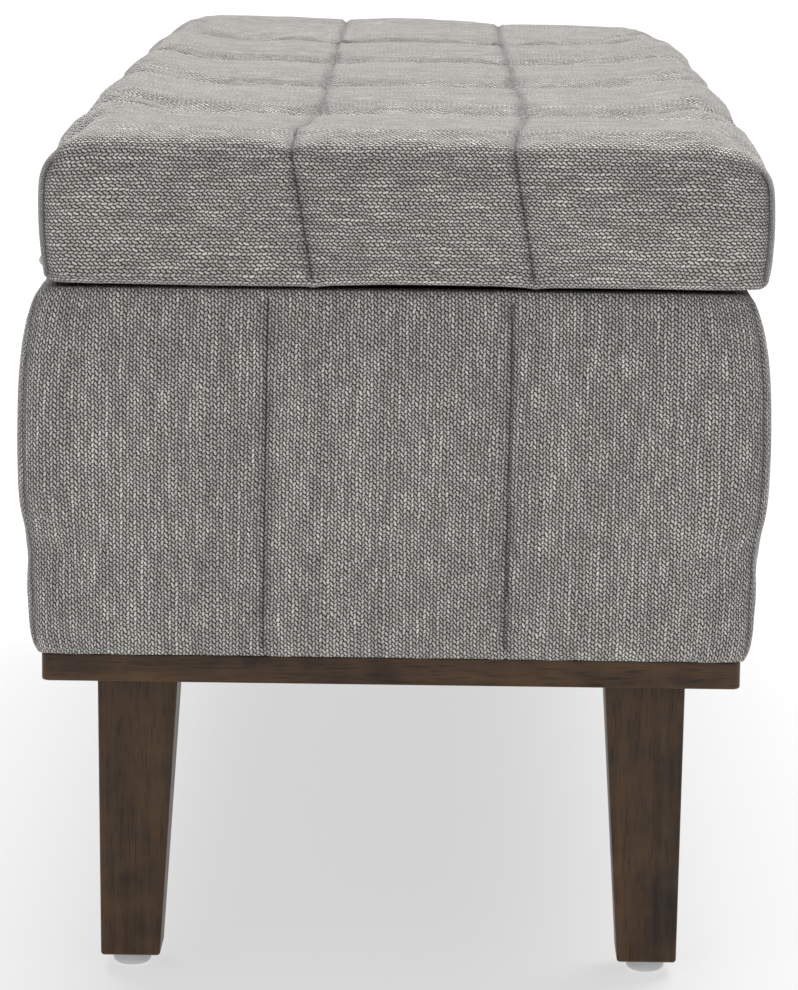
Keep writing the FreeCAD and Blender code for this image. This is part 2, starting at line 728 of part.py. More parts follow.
lidDustBlank = block(
    "lid_dust_blank",
    (lidDustWidth, lidDustLength, "dims.liningThickness"),
    (f"{hemBack} + 0.3", f"{hemLeft} + 0.3", boardBottom - dim("liningThickness") - 0.1),
)
drilled("lid_dust_cover", lidDustBlank, stayLidBits)
bumperShapes = []
for x in (carcassFront - 7.0, carcassBack + 7.0):
    for y in (-endOuter + 7.0, endOuter - 7.0):
        base = (x, y, lidBottom - dim("bumperHeight"))
        bumperShapes.append(cylinderShape(dim("bumperRadius"), dim("bumperHeight") - 0.02, base))
keep(solidGroup("lid_bumper_set", bumperShapes), "lid_bumpers")


# ---- hinges --------------------------------------------------------------------------------------
knuckleCount = 5
knuckleGap = 0.3
knuckleLength = dim("hingeLength") / knuckleCount
leafBackX = hingeX + dim("knuckleRadius") + 0.5
leafFrontX = hingeX + dim("knuckleRadius") + dim("leafWidth")


def hingeLeaf(name, centreY, plateZ, ownKnuckles, bits):
    """One leaf: a plate, its share of the knuckles round the pin, and countersunk screw holes."""
    length = dim("hingeLength")
    thickness = dim("leafThickness")
    plateSize = (leafFrontX - leafBackX, length, thickness)
    pieces = [block(f"{name}_plate", plateSize, (leafBackX, centreY - length / 2, plateZ))]
    span = knuckleLength - knuckleGap
    rootSize = (leafBackX - hingeX + 0.5, span, thickness)
    for number in ownKnuckles:
        low = centreY - length / 2 + number * knuckleLength + knuckleGap / 2
        knuckleStart = (hingeX, low, hingeZ)
        pieces.append(rod(f"{name}_knuckle_{number}", "dims.knuckleRadius", span, knuckleStart, (0, 1, 0)))
        pieces.append(block(f"{name}_root_{number}", rootSize, (hingeX, low, plateZ)))
    fused = boolean("Part::MultiFuse", f"{name}_fused", *pieces)
    boreRadius = "dims.hingePinRadius + dims.hingePlay"
    bore = rod(f"{name}_bore", boreRadius, 2 * length, (hingeX, centreY - length, hingeZ), (0, 1, 0))
    bored = boolean("Part::Cut", f"{name}_bored", fused, bore)
    return drilled(name, bored, bits)


hingeNames = ("left", "middle", "right")
for place, centreY in zip(hingeNames, hingeCentres):
    hingeLeaf(f"hinge_{place}_box_leaf", centreY, rimTop + 0.05, (0, 2, 4), hingeBoxBits)
    hingeLeaf(f"hinge_{place}_lid_leaf", centreY, upperLeafZ, (1, 3), hingeLidBits)
    pinLow = (hingeX, centreY - dim("hingeLength") / 2, hingeZ)
    keep(
        rod(f"hinge_{place}_pin_rod", "dims.hingePinRadius", "dims.hingeLength", pinLow, (0, 1, 0)),
        f"hinge_{place}_pin",
    )
for name, screws in (
    ("hinge_box_screws", hingeBoxScrews),
    ("hinge_lid_screws", hingeLidScrews),
    ("stay_box_screws", stayBoxScrews),
    ("stay_lid_screws", stayLidScrews),
):
    keep(solidGroup(f"{name}_set", [screwShape(*screw) for screw in screws]), name)


# ---- folding stays -------------------------------------------------------------------------------
def stayBoss(name, x, z, radius, yStart, yEnd):
    """A round piece along Y between two layers."""
    low, high = sorted((yStart, yEnd))
    return rod(name, radius, high - low, (x, low, z), (0, 1, 0))


def flatArm(name, layer, end, start, turn, holeRadii, stud):
    """A flat bar with round ends, turned about Y at its start; stud adds a headed pin at its far end."""
    thickness = dim("armThickness")
    low, high = sorted((end * layer, end * (layer - thickness)))
    width = dim("armWidth")
    bar = block(f"{name}_bar", ("dims.stayReach", thickness, width), (0, low, -width / 2))
    ends = [
        rod(f"{name}_end_{i}", "dims.armWidth / 2", thickness, (x, low, 0), (0, 1, 0))
        for i, x in enumerate((0, reach))
    ]
    holes = [
        rod(f"{name}_hole_{i}", radius, 4 * thickness, (x, low - thickness, 0), (0, 1, 0))
        for i, (x, radius) in enumerate(zip((0, reach), holeRadii))
        if radius
    ]
    arm = boolean("Part::MultiFuse", f"{name}_bar_round", bar, *ends)
    for number, hole in enumerate(holes):
        arm = boolean("Part::Cut", f"{name}_holed_{number}", arm, hole)
    if stud:
        faceY = end * (layer - thickness)
        headY = end * (layer - 2 * thickness - 2 * armGap)
        pin = stayBoss(f"{name}_pin", reach, 0, "dims.stayPinRadius", faceY, headY)
        head = stayBoss(f"{name}_pin_head", reach, 0, "dims.stayPinRadius + 1.5", headY, headY - end * 1.0)
        arm = boolean("Part::MultiFuse", f"{name}_with_pin", arm, pin, head)
    arm.Placement = FreeCAD.Placement(
        FreeCAD.Vector(start[0], 0, start[1]), FreeCAD.Rotation(FreeCAD.Vector(0, -1, 0), turn)
    )
    return keep(arm, name)


studRadius = "dims.stayPinRadius"
headRadius = "dims.stayPinRadius + 1.5"
for endName, end in (("left", -1), ("right", 1)):
    stay = f"stay_{endName}"
    plateFace = end * (wallFace - 2.0)
    plateLow, plateHigh = sorted((end * wallFace, plateFace))
    plateCorner = (pivotBox[0] - 10.0, plateLow, pivotBox[1] - 22.0)
    plate = block(f"{stay}_plate", (20.0, plateHigh - plateLow, 44.0), plateCorner)
    studEnd = end * (lowerArmLayer - dim("armThickness") - armGap)
    stud = stayBoss(f"{stay}_stud", *pivotBox, studRadius, plateFace, studEnd)
    head = stayBoss(f"{stay}_stud_head", *pivotBox, headRadius, studEnd, studEnd - end)
    fixed = boolean("Part::MultiFuse", f"{stay}_fixed", plate, stud, head)
    drilled(f"{stay}_box_bracket", fixed, stayBoxBits)

    runHole = dim("stayPinRadius") + 0.05
    flatArm(f"{stay}_lower_arm", lowerArmLayer, end, pivotBox, lowerArmTurn, (runHole, 0), True)
    openHole = dim("stayPinRadius") + 0.3
    flatArm(f"{stay}_upper_arm", upperArmLayer, end, elbow, upperArmTurn, (runHole, openHole), False)

    webLow, webHigh = sorted((end * bracketLayer, end * (bracketLayer - 2.0)))
    web = block(
        f"{stay}_web",
        (44.0, webHigh - webLow, lidBottom - 0.05 - pivotLid[1] + 8.0),
        (pivotLid[0] - 22.0, webLow, pivotLid[1] - 8.0),
    )
    flangeLow, flangeHigh = sorted((end * bracketLayer, end * (bracketLayer - 22.0)))
    flange = block(
        f"{stay}_flange",
        (44.0, flangeHigh - flangeLow, 2.0),
        (pivotLid[0] - 22.0, flangeLow, lidBottom - 2.05),
    )
    lidStudEnd = end * (upperArmLayer + armGap)
    lidStud = stayBoss(f"{stay}_lid_stud", *pivotLid, studRadius, end * bracketLayer, lidStudEnd)
    lidHead = stayBoss(f"{stay}_lid_head", *pivotLid, headRadius, lidStudEnd, lidStudEnd + end)
    lidFixed = boolean("Part::MultiFuse", f"{stay}_lid_fixed", web, flange, lidStud, lidHead)
    drilled(f"{stay}_lid_bracket", lidFixed, stayLidBits)

# ---- check and write -----------------------------------------------------------------------------
doc.recompute()
failed = [obj.Name for obj in doc.Objects if {"Invalid", "Error"} & set(obj.State)]
if failed:
    raise RuntimeError(f"these objects did not recompute: {failed}")
os.makedirs("parts", exist_ok=True)
for obj in subParts:
    shape = obj.Shape
    if shape.isNull() or not shape.isValid() or not shape.Solids:
        raise RuntimeError(f"{obj.Label} has no valid solid")
    shape.exportStep(f"parts/{obj.Label}.step")
    print(f"{obj.Label}: {len(shape.Solids)} solid(s), {shape.Volume / 1000:.1f} cm3")
print(f"{len(subParts)} nodes; hinge axis x {hingeX:.3f} z {hingeZ:.3f}")
print(f"stay pivots: box {pivotBox}, elbow {elbow}, lid {pivotLid}")
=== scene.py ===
import json
import math
import bpy
import numpy as np
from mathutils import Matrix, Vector


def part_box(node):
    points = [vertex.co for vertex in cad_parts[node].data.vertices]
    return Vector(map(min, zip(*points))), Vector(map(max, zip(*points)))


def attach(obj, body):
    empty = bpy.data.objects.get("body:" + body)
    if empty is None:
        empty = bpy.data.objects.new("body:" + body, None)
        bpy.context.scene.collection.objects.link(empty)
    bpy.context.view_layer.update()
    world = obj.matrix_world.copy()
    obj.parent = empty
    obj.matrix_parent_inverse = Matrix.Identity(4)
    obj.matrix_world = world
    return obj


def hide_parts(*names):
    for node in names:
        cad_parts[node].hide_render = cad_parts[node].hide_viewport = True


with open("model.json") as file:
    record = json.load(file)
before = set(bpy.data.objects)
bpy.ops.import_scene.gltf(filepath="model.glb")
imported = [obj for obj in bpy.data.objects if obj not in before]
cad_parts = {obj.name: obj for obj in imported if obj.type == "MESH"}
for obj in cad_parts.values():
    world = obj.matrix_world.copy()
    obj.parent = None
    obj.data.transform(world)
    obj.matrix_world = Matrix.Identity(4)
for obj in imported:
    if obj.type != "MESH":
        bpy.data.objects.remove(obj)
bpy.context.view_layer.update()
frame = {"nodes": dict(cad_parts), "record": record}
rowShares = (-0.6, -0.2, 0.2, 0.6)  # cross seams as shares of half the length: five equal panels


def gradedLines(low, high, coarse, fine, reach, creases):
    # line positions whose spacing grows from fine at a crease to coarse at reach away from it
    place = np.linspace(low, high, 8001)
    near = np.min([np.abs(place - crease) for crease in creases], axis=0)
    step = fine + (coarse - fine) * np.clip(near / reach, 0, 1) ** 1.5
    count = np.concatenate([[0], np.cumsum(2 * np.diff(place) / (step[1:] + step[:-1]))])
    lines = np.interp(np.linspace(0, count[-1], int(round(count[-1])) + 1), count, place)
    for crease in creases:
        lines[np.argmin(np.abs(lines - crease))] = crease
    return lines


def smoothStep(x, low, high):
    # 0 below low, 1 above high, 3q^2 - 2q^3 between
    q = np.clip((x - low) / (high - low), 0, 1)
    return q * q * (3 - 2 * q)


def softNoise(x, y, seed, octaves=2):
    # smooth value noise on a unit lattice of 128 random numbers a side, each octave half as strong, -1 to 1
    total, weight = 0, 0
    for k in range(octaves):
        lattice = np.random.default_rng(seed + k).uniform(-1, 1, (128, 128))
        px, py = x * 2**k, y * 2**k
        ix, iy = np.floor(px).astype(int), np.floor(py).astype(int)
        fx, fy = px - ix, py - iy
        fx, fy = fx * fx * (3 - 2 * fx), fy * fy * (3 - 2 * fy)
        a, b = lattice[ix % 128, iy % 128], lattice[(ix + 1) % 128, iy % 128]
        c, d = lattice[ix % 128, (iy + 1) % 128], lattice[(ix + 1) % 128, (iy + 1) % 128]
        total = total + ((a * (1 - fx) + b * fx) * (1 - fy) + (c * (1 - fx) + d * fx) * fy) / 2**k
        weight += 1 / 2**k
    return total / weight


def joinPatches(name, patches):
    # each patch is (points n by m by 3, cloth coordinates n by m by 2, marks n by m by k, turned or not);
    # quads join neighbours, borders that meet are merged, and cloth coordinates stay per corner, so seams
    # may split them. Gives the object, the marks of each merged point, and each grid point's merged point
    points = np.concatenate([p[0].reshape(-1, 3) for p in patches])
    cloth = np.concatenate([p[1].reshape(-1, 2) for p in patches])
    marks = np.concatenate([p[2].reshape(-1, p[2].shape[-1]) for p in patches])
    quads, base = [], 0
    for p, _, _, turned in patches:
        n, m = p.shape[:2]
        k = np.arange(n * m).reshape(n, m) + base
        ring = np.stack([k[:-1, :-1], k[1:, :-1], k[1:, 1:], k[:-1, 1:]], -1).reshape(-1, 4)
        quads.append(ring[:, ::-1] if turned else ring)
        base += n * m
    quads = np.concatenate(quads)
    key = np.round(points / 2e-5 + 0.137).astype(np.int64)
    _, first, inverse = np.unique(key, axis=0, return_index=True, return_inverse=True)
    inverse = inverse.reshape(-1)
    mesh = bpy.data.meshes.new(name)
    mesh.from_pydata(points[first].tolist(), [], inverse[quads].tolist())
    layer = mesh.uv_layers.new(name="cloth")
    layer.data.foreach_set("uv", cloth[quads.reshape(-1)].reshape(-1).astype(np.float32))
    mesh.shade_smooth()
    obj = bpy.data.objects.new(name, mesh)
    bpy.context.scene.collection.objects.link(obj)
    return obj, marks[first], inverse


def keepValue(obj, name, values):
    obj.data.attributes.new(name, "FLOAT", "POINT").data.foreach_set("value", values.astype(np.float32))


def readPoints(obj):
    count = len(obj.data.vertices)
    points, normals = np.empty(count * 3), np.empty(count * 3)
    obj.data.vertices.foreach_get("co", points)
    obj.data.vertices.foreach_get("normal", normals)
    return points.reshape(-1, 3), normals.reshape(-1, 3)


def writePoints(obj, points):
    obj.data.vertices.foreach_set("co", points.reshape(-1).astype(np.float32))
    obj.data.update()


def addNode(tree, kind, values=None, **settings):
    n = tree.nodes.new(kind)
    for key, value in settings.items():
        setattr(n, key, value)
    for key, value in (values or {}).items():
        if isinstance(value, bpy.types.NodeSocket):
            tree.links.new(value, n.inputs[key])
        else:
            n.inputs[key].default_value = value
    return n


def calc(tree, operation, a, b=0.0, c=0.0, clamp=False):
    n = addNode(tree, "ShaderNodeMath", {0: a, 1: b, 2: c}, operation=operation, use_clamp=clamp)
    return n.outputs[0]


def mixColor(tree, factor, a, b, blend="MIX"):
    n = addNode(tree, "ShaderNodeMix", {"Factor": factor, 6: a, 7: b}, data_type="RGBA", blend_type=blend)
    return n.outputs[2]


def remap(tree, value, low, high, atLow=0.0, atHigh=1.0):
    # value's way from low to high read as the way from atLow to atHigh, and held at both ends
    return addNode(tree, "ShaderNodeMapRange", {0: value, 1: low, 2: high, 3: atLow, 4: atHigh}).outputs[0]


def noiseAt(tree, place, scale, detail, **more):
    values = {"Vector": place, "Scale": scale, "Detail": detail, **more}
    return addNode(tree, "ShaderNodeTexNoise", values).outputs


def reliefOn(tree, surface, height, strength, depth):
    relief = addNode(tree, "ShaderNodeBump", {"Height": height, "Strength": strength, "Distance": depth})
    tree.links.new(relief.outputs[0], surface.inputs["Normal"])


def pointAt(tree, x, y, z=0.0):
    return addNode(tree, "ShaderNodeCombineXYZ", {0: x, 1: y, 2: z}).outputs[0]


def newGroup(name, inputs, outputs):
    tree = bpy.data.node_groups.new(name, "ShaderNodeTree")
    for label, kind, value in inputs:
        socket = tree.interface.new_socket(label, in_out="INPUT", socket_type=kind)
        if value is not None:
            socket.default_value = value
    for label, kind in outputs:
        tree.interface.new_socket(label, in_out="OUTPUT", socket_type=kind)
    return tree, tree.nodes.new("NodeGroupInput"), tree.nodes.new("NodeGroupOutput")


def newMaterial(name):
    material = bpy.data.materials.new(name)
    material.use_nodes = True
    tree = material.node_tree
    return material, tree, tree.nodes["Principled BSDF"]


def placeGroup(tree, group, values):
    return addNode(tree, "ShaderNodeGroup", values, node_tree=group)


def makeWeaveGroup():
    # floats of slubbed yarn in staggered columns, each a little aslant, over dark gaps. Along is metres down
    # the yarn and Across is metres over the yarns. Cover is 0 in the gaps and 1 on a float, and the second
    # output is how pale that float's yarn is, from its own luck, its column's slubs and wider bands, with a
    # painted highlight laid on the float's crown
    tree, given, out = newGroup(
        "linenWeave",
        [
            ("Across", "NodeSocketFloat", 0.0),
            ("Along", "NodeSocketFloat", 0.0),
            ("Yarn Width", "NodeSocketFloat", 0.00192),
            ("Float Length", "NodeSocketFloat", 0.0029),
        ],
        [("Cover", "NodeSocketFloat"), ("Light", "NodeSocketFloat"), ("Height", "NodeSocketFloat")],
    )
    # the yarns wander a little to and fro
    place = pointAt(tree, given.outputs["Across"], given.outputs["Along"])
    wander = noiseAt(tree, place, 95.0, 3.0)["Color"]
    bend = addNode(tree, "ShaderNodeSeparateColor", {0: wander})
    aside = calc(tree, "SUBTRACT", bend.outputs[0], 0.5)
    across = calc(tree, "MULTIPLY_ADD", aside, 0.0024, given.outputs["Across"])
    ahead = calc(tree, "SUBTRACT", bend.outputs[1], 0.5)
    along = calc(tree, "MULTIPLY_ADD", ahead, 0.0046, given.outputs["Along"])
    # columns of floats, every second one moved on by half a float, and each by its own luck
    u = calc(tree, "DIVIDE", across, given.outputs["Yarn Width"])
    column = calc(tree, "FLOOR", u)
    odd = calc(tree, "FLOORED_MODULO", column, 2.0)
    columnLuck = addNode(tree, "ShaderNodeTexWhiteNoise", {"W": column}, noise_dimensions="1D")
    shift = calc(tree, "MULTIPLY_ADD", columnLuck.outputs["Value"], 0.22, calc(tree, "MULTIPLY", odd, 0.5))
    v = calc(tree, "ADD", calc(tree, "DIVIDE", along, given.outputs["Float Length"]), shift)
    cell = pointAt(tree, column, calc(tree, "FLOOR", v))
    floatLuck = addNode(tree, "ShaderNodeTexWhiteNoise", {"Vector": cell}, noise_dimensions="2D")
    # a float's outline: 1 - |across|^1.7 by 1 - |along|^3.4, leaning one way and then the other
    downFloat = calc(tree, "SUBTRACT", calc(tree, "FRACT", v), 0.5)
    lean = calc(tree, "MULTIPLY_ADD", odd, 1.05, -0.34)
    upright = calc(tree, "SUBTRACT", calc(tree, "FRACT", u), 0.5)
    overFloat = calc(tree, "MULTIPLY_ADD", downFloat, lean, upright)

    def hump(value, wide, power):
        share = calc(tree, "ABSOLUTE", calc(tree, "MULTIPLY", value, wide))
        return calc(tree, "SUBTRACT", 1.0, calc(tree, "POWER", share, power), clamp=True)

    dash = calc(tree, "MULTIPLY", hump(overFloat, 2.12, 1.7), hump(downFloat, 2.0, 3.4))
    # how pale the yarn is: slubs along each column, wider bands over several and luck, plus a painted
    # highlight on the float's crown
    slubPlace = pointAt(tree, calc(tree, "MULTIPLY", column, 0.71), calc(tree, "MULTIPLY", along, 42.0))
    slub = remap(tree, noiseAt(tree, slubPlace, 1.0, 3.0, Roughness=0.6)[0], 0.48, 0.70)
    bandPlace = pointAt(tree, calc(tree, "MULTIPLY", across, 55.0), calc(tree, "MULTIPLY", along, 5.0))
    band = remap(tree, noiseAt(tree, bandPlace, 1.0, 2.0)[0], 0.42, 0.66)
    luck = calc(tree, "POWER", floatLuck.outputs["Value"], 1.3)
    palenessAndHighlight = calc(tree, "MULTIPLY_ADD", luck, 0.26, calc(tree, "MULTIPLY", slub, 0.50))
    palenessAndHighlight = calc(tree, "MULTIPLY_ADD", band, 0.12, palenessAndHighlight)
    # painted highlight: the float's crown is made paler
    palenessAndHighlight = calc(tree, "MULTIPLY_ADD", dash, 0.22, palenessAndHighlight)
    palenessAndHighlight = calc(tree, "ADD", palenessAndHighlight, 0.10, clamp=True)
    cover = remap(tree, dash, 0.04, 0.62)
    tree.links.new(cover, out.inputs["Cover"])
    tree.links.new(palenessAndHighlight, out.inputs["Light"])
    tree.links.new(dash, out.inputs["Height"])
    return tree


def makeWoodGroup():
    # Vector's Z runs along the grain; growth bands and pores are noise drawn out along it
    tree, given, out = newGroup(
        "stainedGrain",
        [("Vector", "NodeSocketVector", None), ("Shift", "NodeSocketFloat", 0.0)],
        [("Tone", "NodeSocketFloat"), ("Pores", "NodeSocketFloat"), ("Mottle", "NodeSocketFloat")],
    )
    shift = pointAt(tree, *[given.outputs["Shift"]] * 3)
    moved = addNode(
        tree, "ShaderNodeVectorMath", {0: given.outputs["Vector"], 1: shift}, operation="ADD"
    ).outputs[0]
    x, y, z = addNode(tree, "ShaderNodeSeparateXYZ", {0: moved}).outputs

    def drawnOut(wide, long):
        return pointAt(tree, *[calc(tree, "MULTIPLY", *pair) for pair in ((x, wide), (y, wide), (z, long))])

    growth = noiseAt(tree, drawnOut(95.0, 7.0), 1.0, 5.0, Roughness=0.62, Distortion=0.4)[0]
    tone = remap(tree, growth, 0.3, 0.72)
    pores = remap(tree, noiseAt(tree, drawnOut(1300.0, 60.0), 1.0, 2.0)[0], 0.56, 0.68)
    mottle = remap(tree, noiseAt(tree, moved, 38.0, 3.0, Roughness=0.6)[0], 0.36, 0.68)
    tree.links.new(tone, out.inputs["Tone"])
    tree.links.new(pores, out.inputs["Pores"])
    tree.links.new(mottle, out.inputs["Mottle"])
    return tree


weaveGroup = makeWeaveGroup()
woodGroup = makeWoodGroup()


def fabricMaterial(name, alongAxis):
    # grey linen-look cloth; alongAxis says which cloth coordinate the floats follow. The seam attribute is
    # each point's distance to the nearest stitched line, where a thin, dark painted crease shadow is laid,
    # broken up by the stitches
    material, tree, surface = newMaterial(name)
    cloth = addNode(tree, "ShaderNodeUVMap", uv_map="cloth")
    parts = addNode(tree, "ShaderNodeSeparateXYZ", {0: cloth.outputs[0]})
    across, along = (0, 1) if alongAxis == "v" else (1, 0)
    weave = placeGroup(tree, weaveGroup, {"Across": parts.outputs[across], "Along": parts.outputs[along]})
    darkYarn, paleYarn = (0.243, 0.229, 0.212, 1), (0.985, 0.95, 0.905, 1)
    fuzzTint, gapTint = (0.30, 0.285, 0.265, 1), (0.042, 0.039, 0.034, 1)
    seamShadeTint, creaseShadowTint = (0.030, 0.027, 0.024, 1), (0.018, 0.016, 0.014, 1)
    yarn = mixColor(tree, weave.outputs["Light"], darkYarn, paleYarn)
    fuzz = noiseAt(tree, cloth.outputs[0], 2600.0, 1.0)[0]
    yarn = mixColor(tree, calc(tree, "MULTIPLY", fuzz, 0.22), yarn, fuzzTint)
    color = mixColor(tree, weave.outputs["Cover"], gapTint, yarn)
    # painted shade: the cloth is darkened softly beside each seam, and a thin painted crease shadow lies on
    # the stitched line itself
    distance = addNode(tree, "ShaderNodeAttribute", attribute_name="seam").outputs["Fac"]
    color = mixColor(tree, remap(tree, distance, 0.0, 0.0065, 0.32, 0.0), color, seamShadeTint)
    # a thin painted crease shadow along the stitched line, broken up by the stitches
    tug = noiseAt(tree, cloth.outputs[0], 420.0, 1.0)[0]
    reach = calc(tree, "MULTIPLY_ADD", tug, 0.0014, 0.0005)
    creaseShadow = remap(tree, distance, 0.0, reach, 0.95, 0.0)
    stitchLength = 0.0030
    path = calc(tree, "ADD", parts.outputs[0], parts.outputs[1])
    wave = calc(tree, "SINE", calc(tree, "MULTIPLY", path, 2 * math.pi / stitchLength))
    holes = calc(tree, "MULTIPLY_ADD", wave, 0.35, 0.65)
    color = mixColor(tree, calc(tree, "MULTIPLY", creaseShadow, holes), color, creaseShadowTint)
    tree.links.new(color, surface.inputs["Base Color"])
    surface.inputs["Roughness"].default_value = 0.92
    surface.inputs["Sheen Weight"].default_value = 0.24
    surface.inputs["Specular IOR Level"].default_value = 0.15
    reliefOn(tree, surface, weave.outputs["Height"], 1.0, 0.0007)
    return material


def woodMaterial(name, grainAxis, shift):
    material, tree, surface = newMaterial(name)
    place = addNode(tree, "ShaderNodeTexCoord").outputs["Object"]
    turn = {"x": (0, math.pi / 2, 0), "y": (math.pi / 2, 0, 0), "z": (0, 0, 0)}[grainAxis]
    mapped = addNode(tree, "ShaderNodeMapping", {"Vector": place, "Rotation": turn})
    grain = placeGroup(tree, woodGroup, {"Vector": mapped.outputs[0], "Shift": shift})
    darkGrain, paleGrain = (0.0085, 0.0050, 0.0027, 1), (0.088, 0.043, 0.0160, 1)
    mottleTint, poreTint = (0.108, 0.056, 0.022, 1), (0.012, 0.007, 0.005, 1)
    color = mixColor(tree, grain.outputs["Tone"], darkGrain, paleGrain)
    color = mixColor(tree, calc(tree, "MULTIPLY", grain.outputs["Mottle"], 0.55), color, mottleTint)
    color = mixColor(tree, calc(tree, "MULTIPLY", grain.outputs["Pores"], 0.55), color, poreTint)
    tree.links.new(color, surface.inputs["Base Color"])
    rough = calc(tree, "MULTIPLY_ADD", grain.outputs["Pores"], 0.18, 0.42)
    tree.links.new(rough, surface.inputs["Roughness"])
    surface.inputs["Coat Weight"].default_value = 0.06
    surface.inputs["Coat Roughness"].default_value = 0.35
    surface.inputs["Specular IOR Level"].default_value = 0.3
    reliefOn(tree, surface, calc(tree, "SUBTRACT", 1.0, grain.outputs["Pores"]), 0.35, 0.0002)
    return material


def plainMaterial(name, color, roughness, metallic=0.0, grain=400.0, depth=0.00005, spread=0.15):
    # moulded, plated or matted stuff: fine noise varies its colour, its roughness and its relief
    material, tree, surface = newMaterial(name)
    place = addNode(tree, "ShaderNodeTexCoord").outputs["Object"]
    noise = noiseAt(tree, place, grain, 3.0)[0]
    low = tuple(c * (1 - spread) for c in color) + (1,)
    high = tuple(min(1.0, c * (1 + spread)) for c in color) + (1,)
    tree.links.new(mixColor(tree, noise, low, high), surface.inputs["Base Color"])
    rough = calc(tree, "MULTIPLY_ADD", noise, 0.2, roughness - 0.1)
    tree.links.new(rough, surface.inputs["Roughness"])
    surface.inputs["Metallic"].default_value = metallic
    reliefOn(tree, surface, noise, 0.4, depth)
    return material


print("materials made")


def smoothCurve(points, at):
    # a curve through the points with the slope at each one taken from its two neighbours
    px, py = np.array(points).T
    slope = np.gradient(py, px)
    k = np.clip(np.searchsorted(px, at) - 1, 0, len(px) - 2)
    width = px[k + 1] - px[k]
    q = (at - px[k]) / width
    return (
        (2 * q**3 - 3 * q**2 + 1) * py[k]
        + (q**3 - 2 * q**2 + q) * width * slope[k]
        + (3 * q**2 - 2 * q**3) * py[k + 1]
        + (q**3 - q**2) * width * slope[k + 1]
    )


def swollen(obj, held, pressure, growth, cap):
    # Cloth on a coarse closed cover, held at its seams and hems, with pressure inside and no weight.
    # Gives how far each point moved, no point further than the cap, and takes the modifier off again
    scene = bpy.context.scene
    start, _ = readPoints(obj)
    group = obj.vertex_groups.new(name="sewn")
    group.add(np.nonzero(held)[0].tolist(), 1.0, "REPLACE")
    cloth = obj.modifiers.new("swell", "CLOTH")
    rules = cloth.settings
    rules.quality = 6
    rules.mass = 0.25
    rules.tension_stiffness = rules.compression_stiffness = 18
    rules.shear_stiffness = 6
    rules.bending_stiffness = 1.2
    rules.shrink_min = rules.shrink_max = -growth
    rules.use_pressure = True
    rules.uniform_pressure_force = pressure
    rules.effector_weights.gravity = 0
    rules.vertex_group_mass = "sewn"
    cloth.point_cache.frame_start, cloth.point_cache.frame_end = 1, 20
    for number in range(1, 21):
        scene.frame_set(number)
    seen = obj.evaluated_get(bpy.context.evaluated_depsgraph_get())
    end = np.empty(len(start) * 3)
    seen.data.vertices.foreach_get("co", end)
    obj.modifiers.remove(cloth)
    scene.frame_set(1)
    moved = end.reshape(-1, 3) - start
    far = np.linalg.norm(moved, axis=1, keepdims=True)
    print("cloth moved", obj.name, "mean", round(float(far.mean()), 5), "most", round(float(far.max()), 5))
    return moved * np.minimum(1, cap / np.maximum(far, 1e-9))


def alongLines(values, old, new):
    # values on one set of lines read on another: a parabola's slope at each line, smooth between them
    k = np.clip(np.searchsorted(old, new) - 1, 0, len(old) - 2)
    width = (old[k + 1] - old[k])[:, None, None]
    q = np.clip((new - old[k])[:, None, None] / width, 0, 1)
    slope = np.gradient(values, old, axis=0)
    return (
        (2 * q**3 - 3 * q**2 + 1) * values[k]
        + (q**3 - 2 * q**2 + q) * width * slope[k]
        + (3 * q**2 - 2 * q**3) * values[k + 1]
        + (q**3 - q**2) * width * slope[k + 1]
    )


def carryOver(moved, where, rough, roughWays, patches, ways):
    # the coarse cover's movement, grid by grid, added to the fine cover
    base = 0
    for old, (oldA, oldB), patch, (newA, newB) in zip(rough, roughWays, patches, ways):
        n, m = old[0].shape[:2]
        field = moved[where[base : base + n * m]].reshape(n, m, 3)
        base += n * m
        half = alongLines(field, oldA, newA).transpose(1, 0, 2)
        patch[0][...] += alongLines(half, oldB, newB).transpose(1, 0, 2)


lidShape = {
    "grid": (0.0050, 0.0010),  # widest and finest spacing of the cover's lines
    "roughGrid": (0.0095, 0.0070),  # the same on the copy that the cloth is worked out on
    "pressing": (4.0, 0.020, 0.0065),  # inside pressure, share the cloth may grow, furthest it may move
    "ease": (0.0010, -0.0006),  # how far the cloth's grid stands out past the cover's box, across and along
    "shoulder": 0.0255,  # radius of the soft top edge along the sides
    "endShoulder": 0.0105,  # and along the two ends
    "cut": 0.0065,  # how far in from the side the top's grid ends
    "zone": 0.050,  # width of the strip along each edge that rounds over
    "corner": 0.013,  # radius of the upright corners in plan
    "tuckIn": 0.0040,  # how far the side leans in at the bottom
    "foot": 0.0048,  # radius of the bottom edge
    "hem": 0.030,  # how far in the cloth runs under the lid
    "seams": (-0.0583, 0.0640),  # lengthwise seams
    # how the lengthwise seams wander sideways along the lid, and down each end
    "wander": (
        (-0.559, -0.005), (-0.335, 0.004), (-0.112, 0.001), (0.112, 0), (0.335, -0.003), (0.559, -0.002)
    ),
    "endDrift": 0.0125,  # sideways, from the top of an end face to its foot
    "rowDepth": 0.0112,  # how deep the cross seams pull the top
    "seamDepth": 0.0012,  # and the lengthwise ones
    "crease": 0.0013,  # depth of the narrow stitched crease in each
    "tuft": 0.0060,  # extra pull where two seams cross
    "deepest": 0.0122,  # the most that all of these may add up to
    "wrinkle": 0.0016,  # height of the tension lines beside the tufts
    "swell": 0.0060,  # the top is made this much lower inside its edges, and the pressure fills it out
}


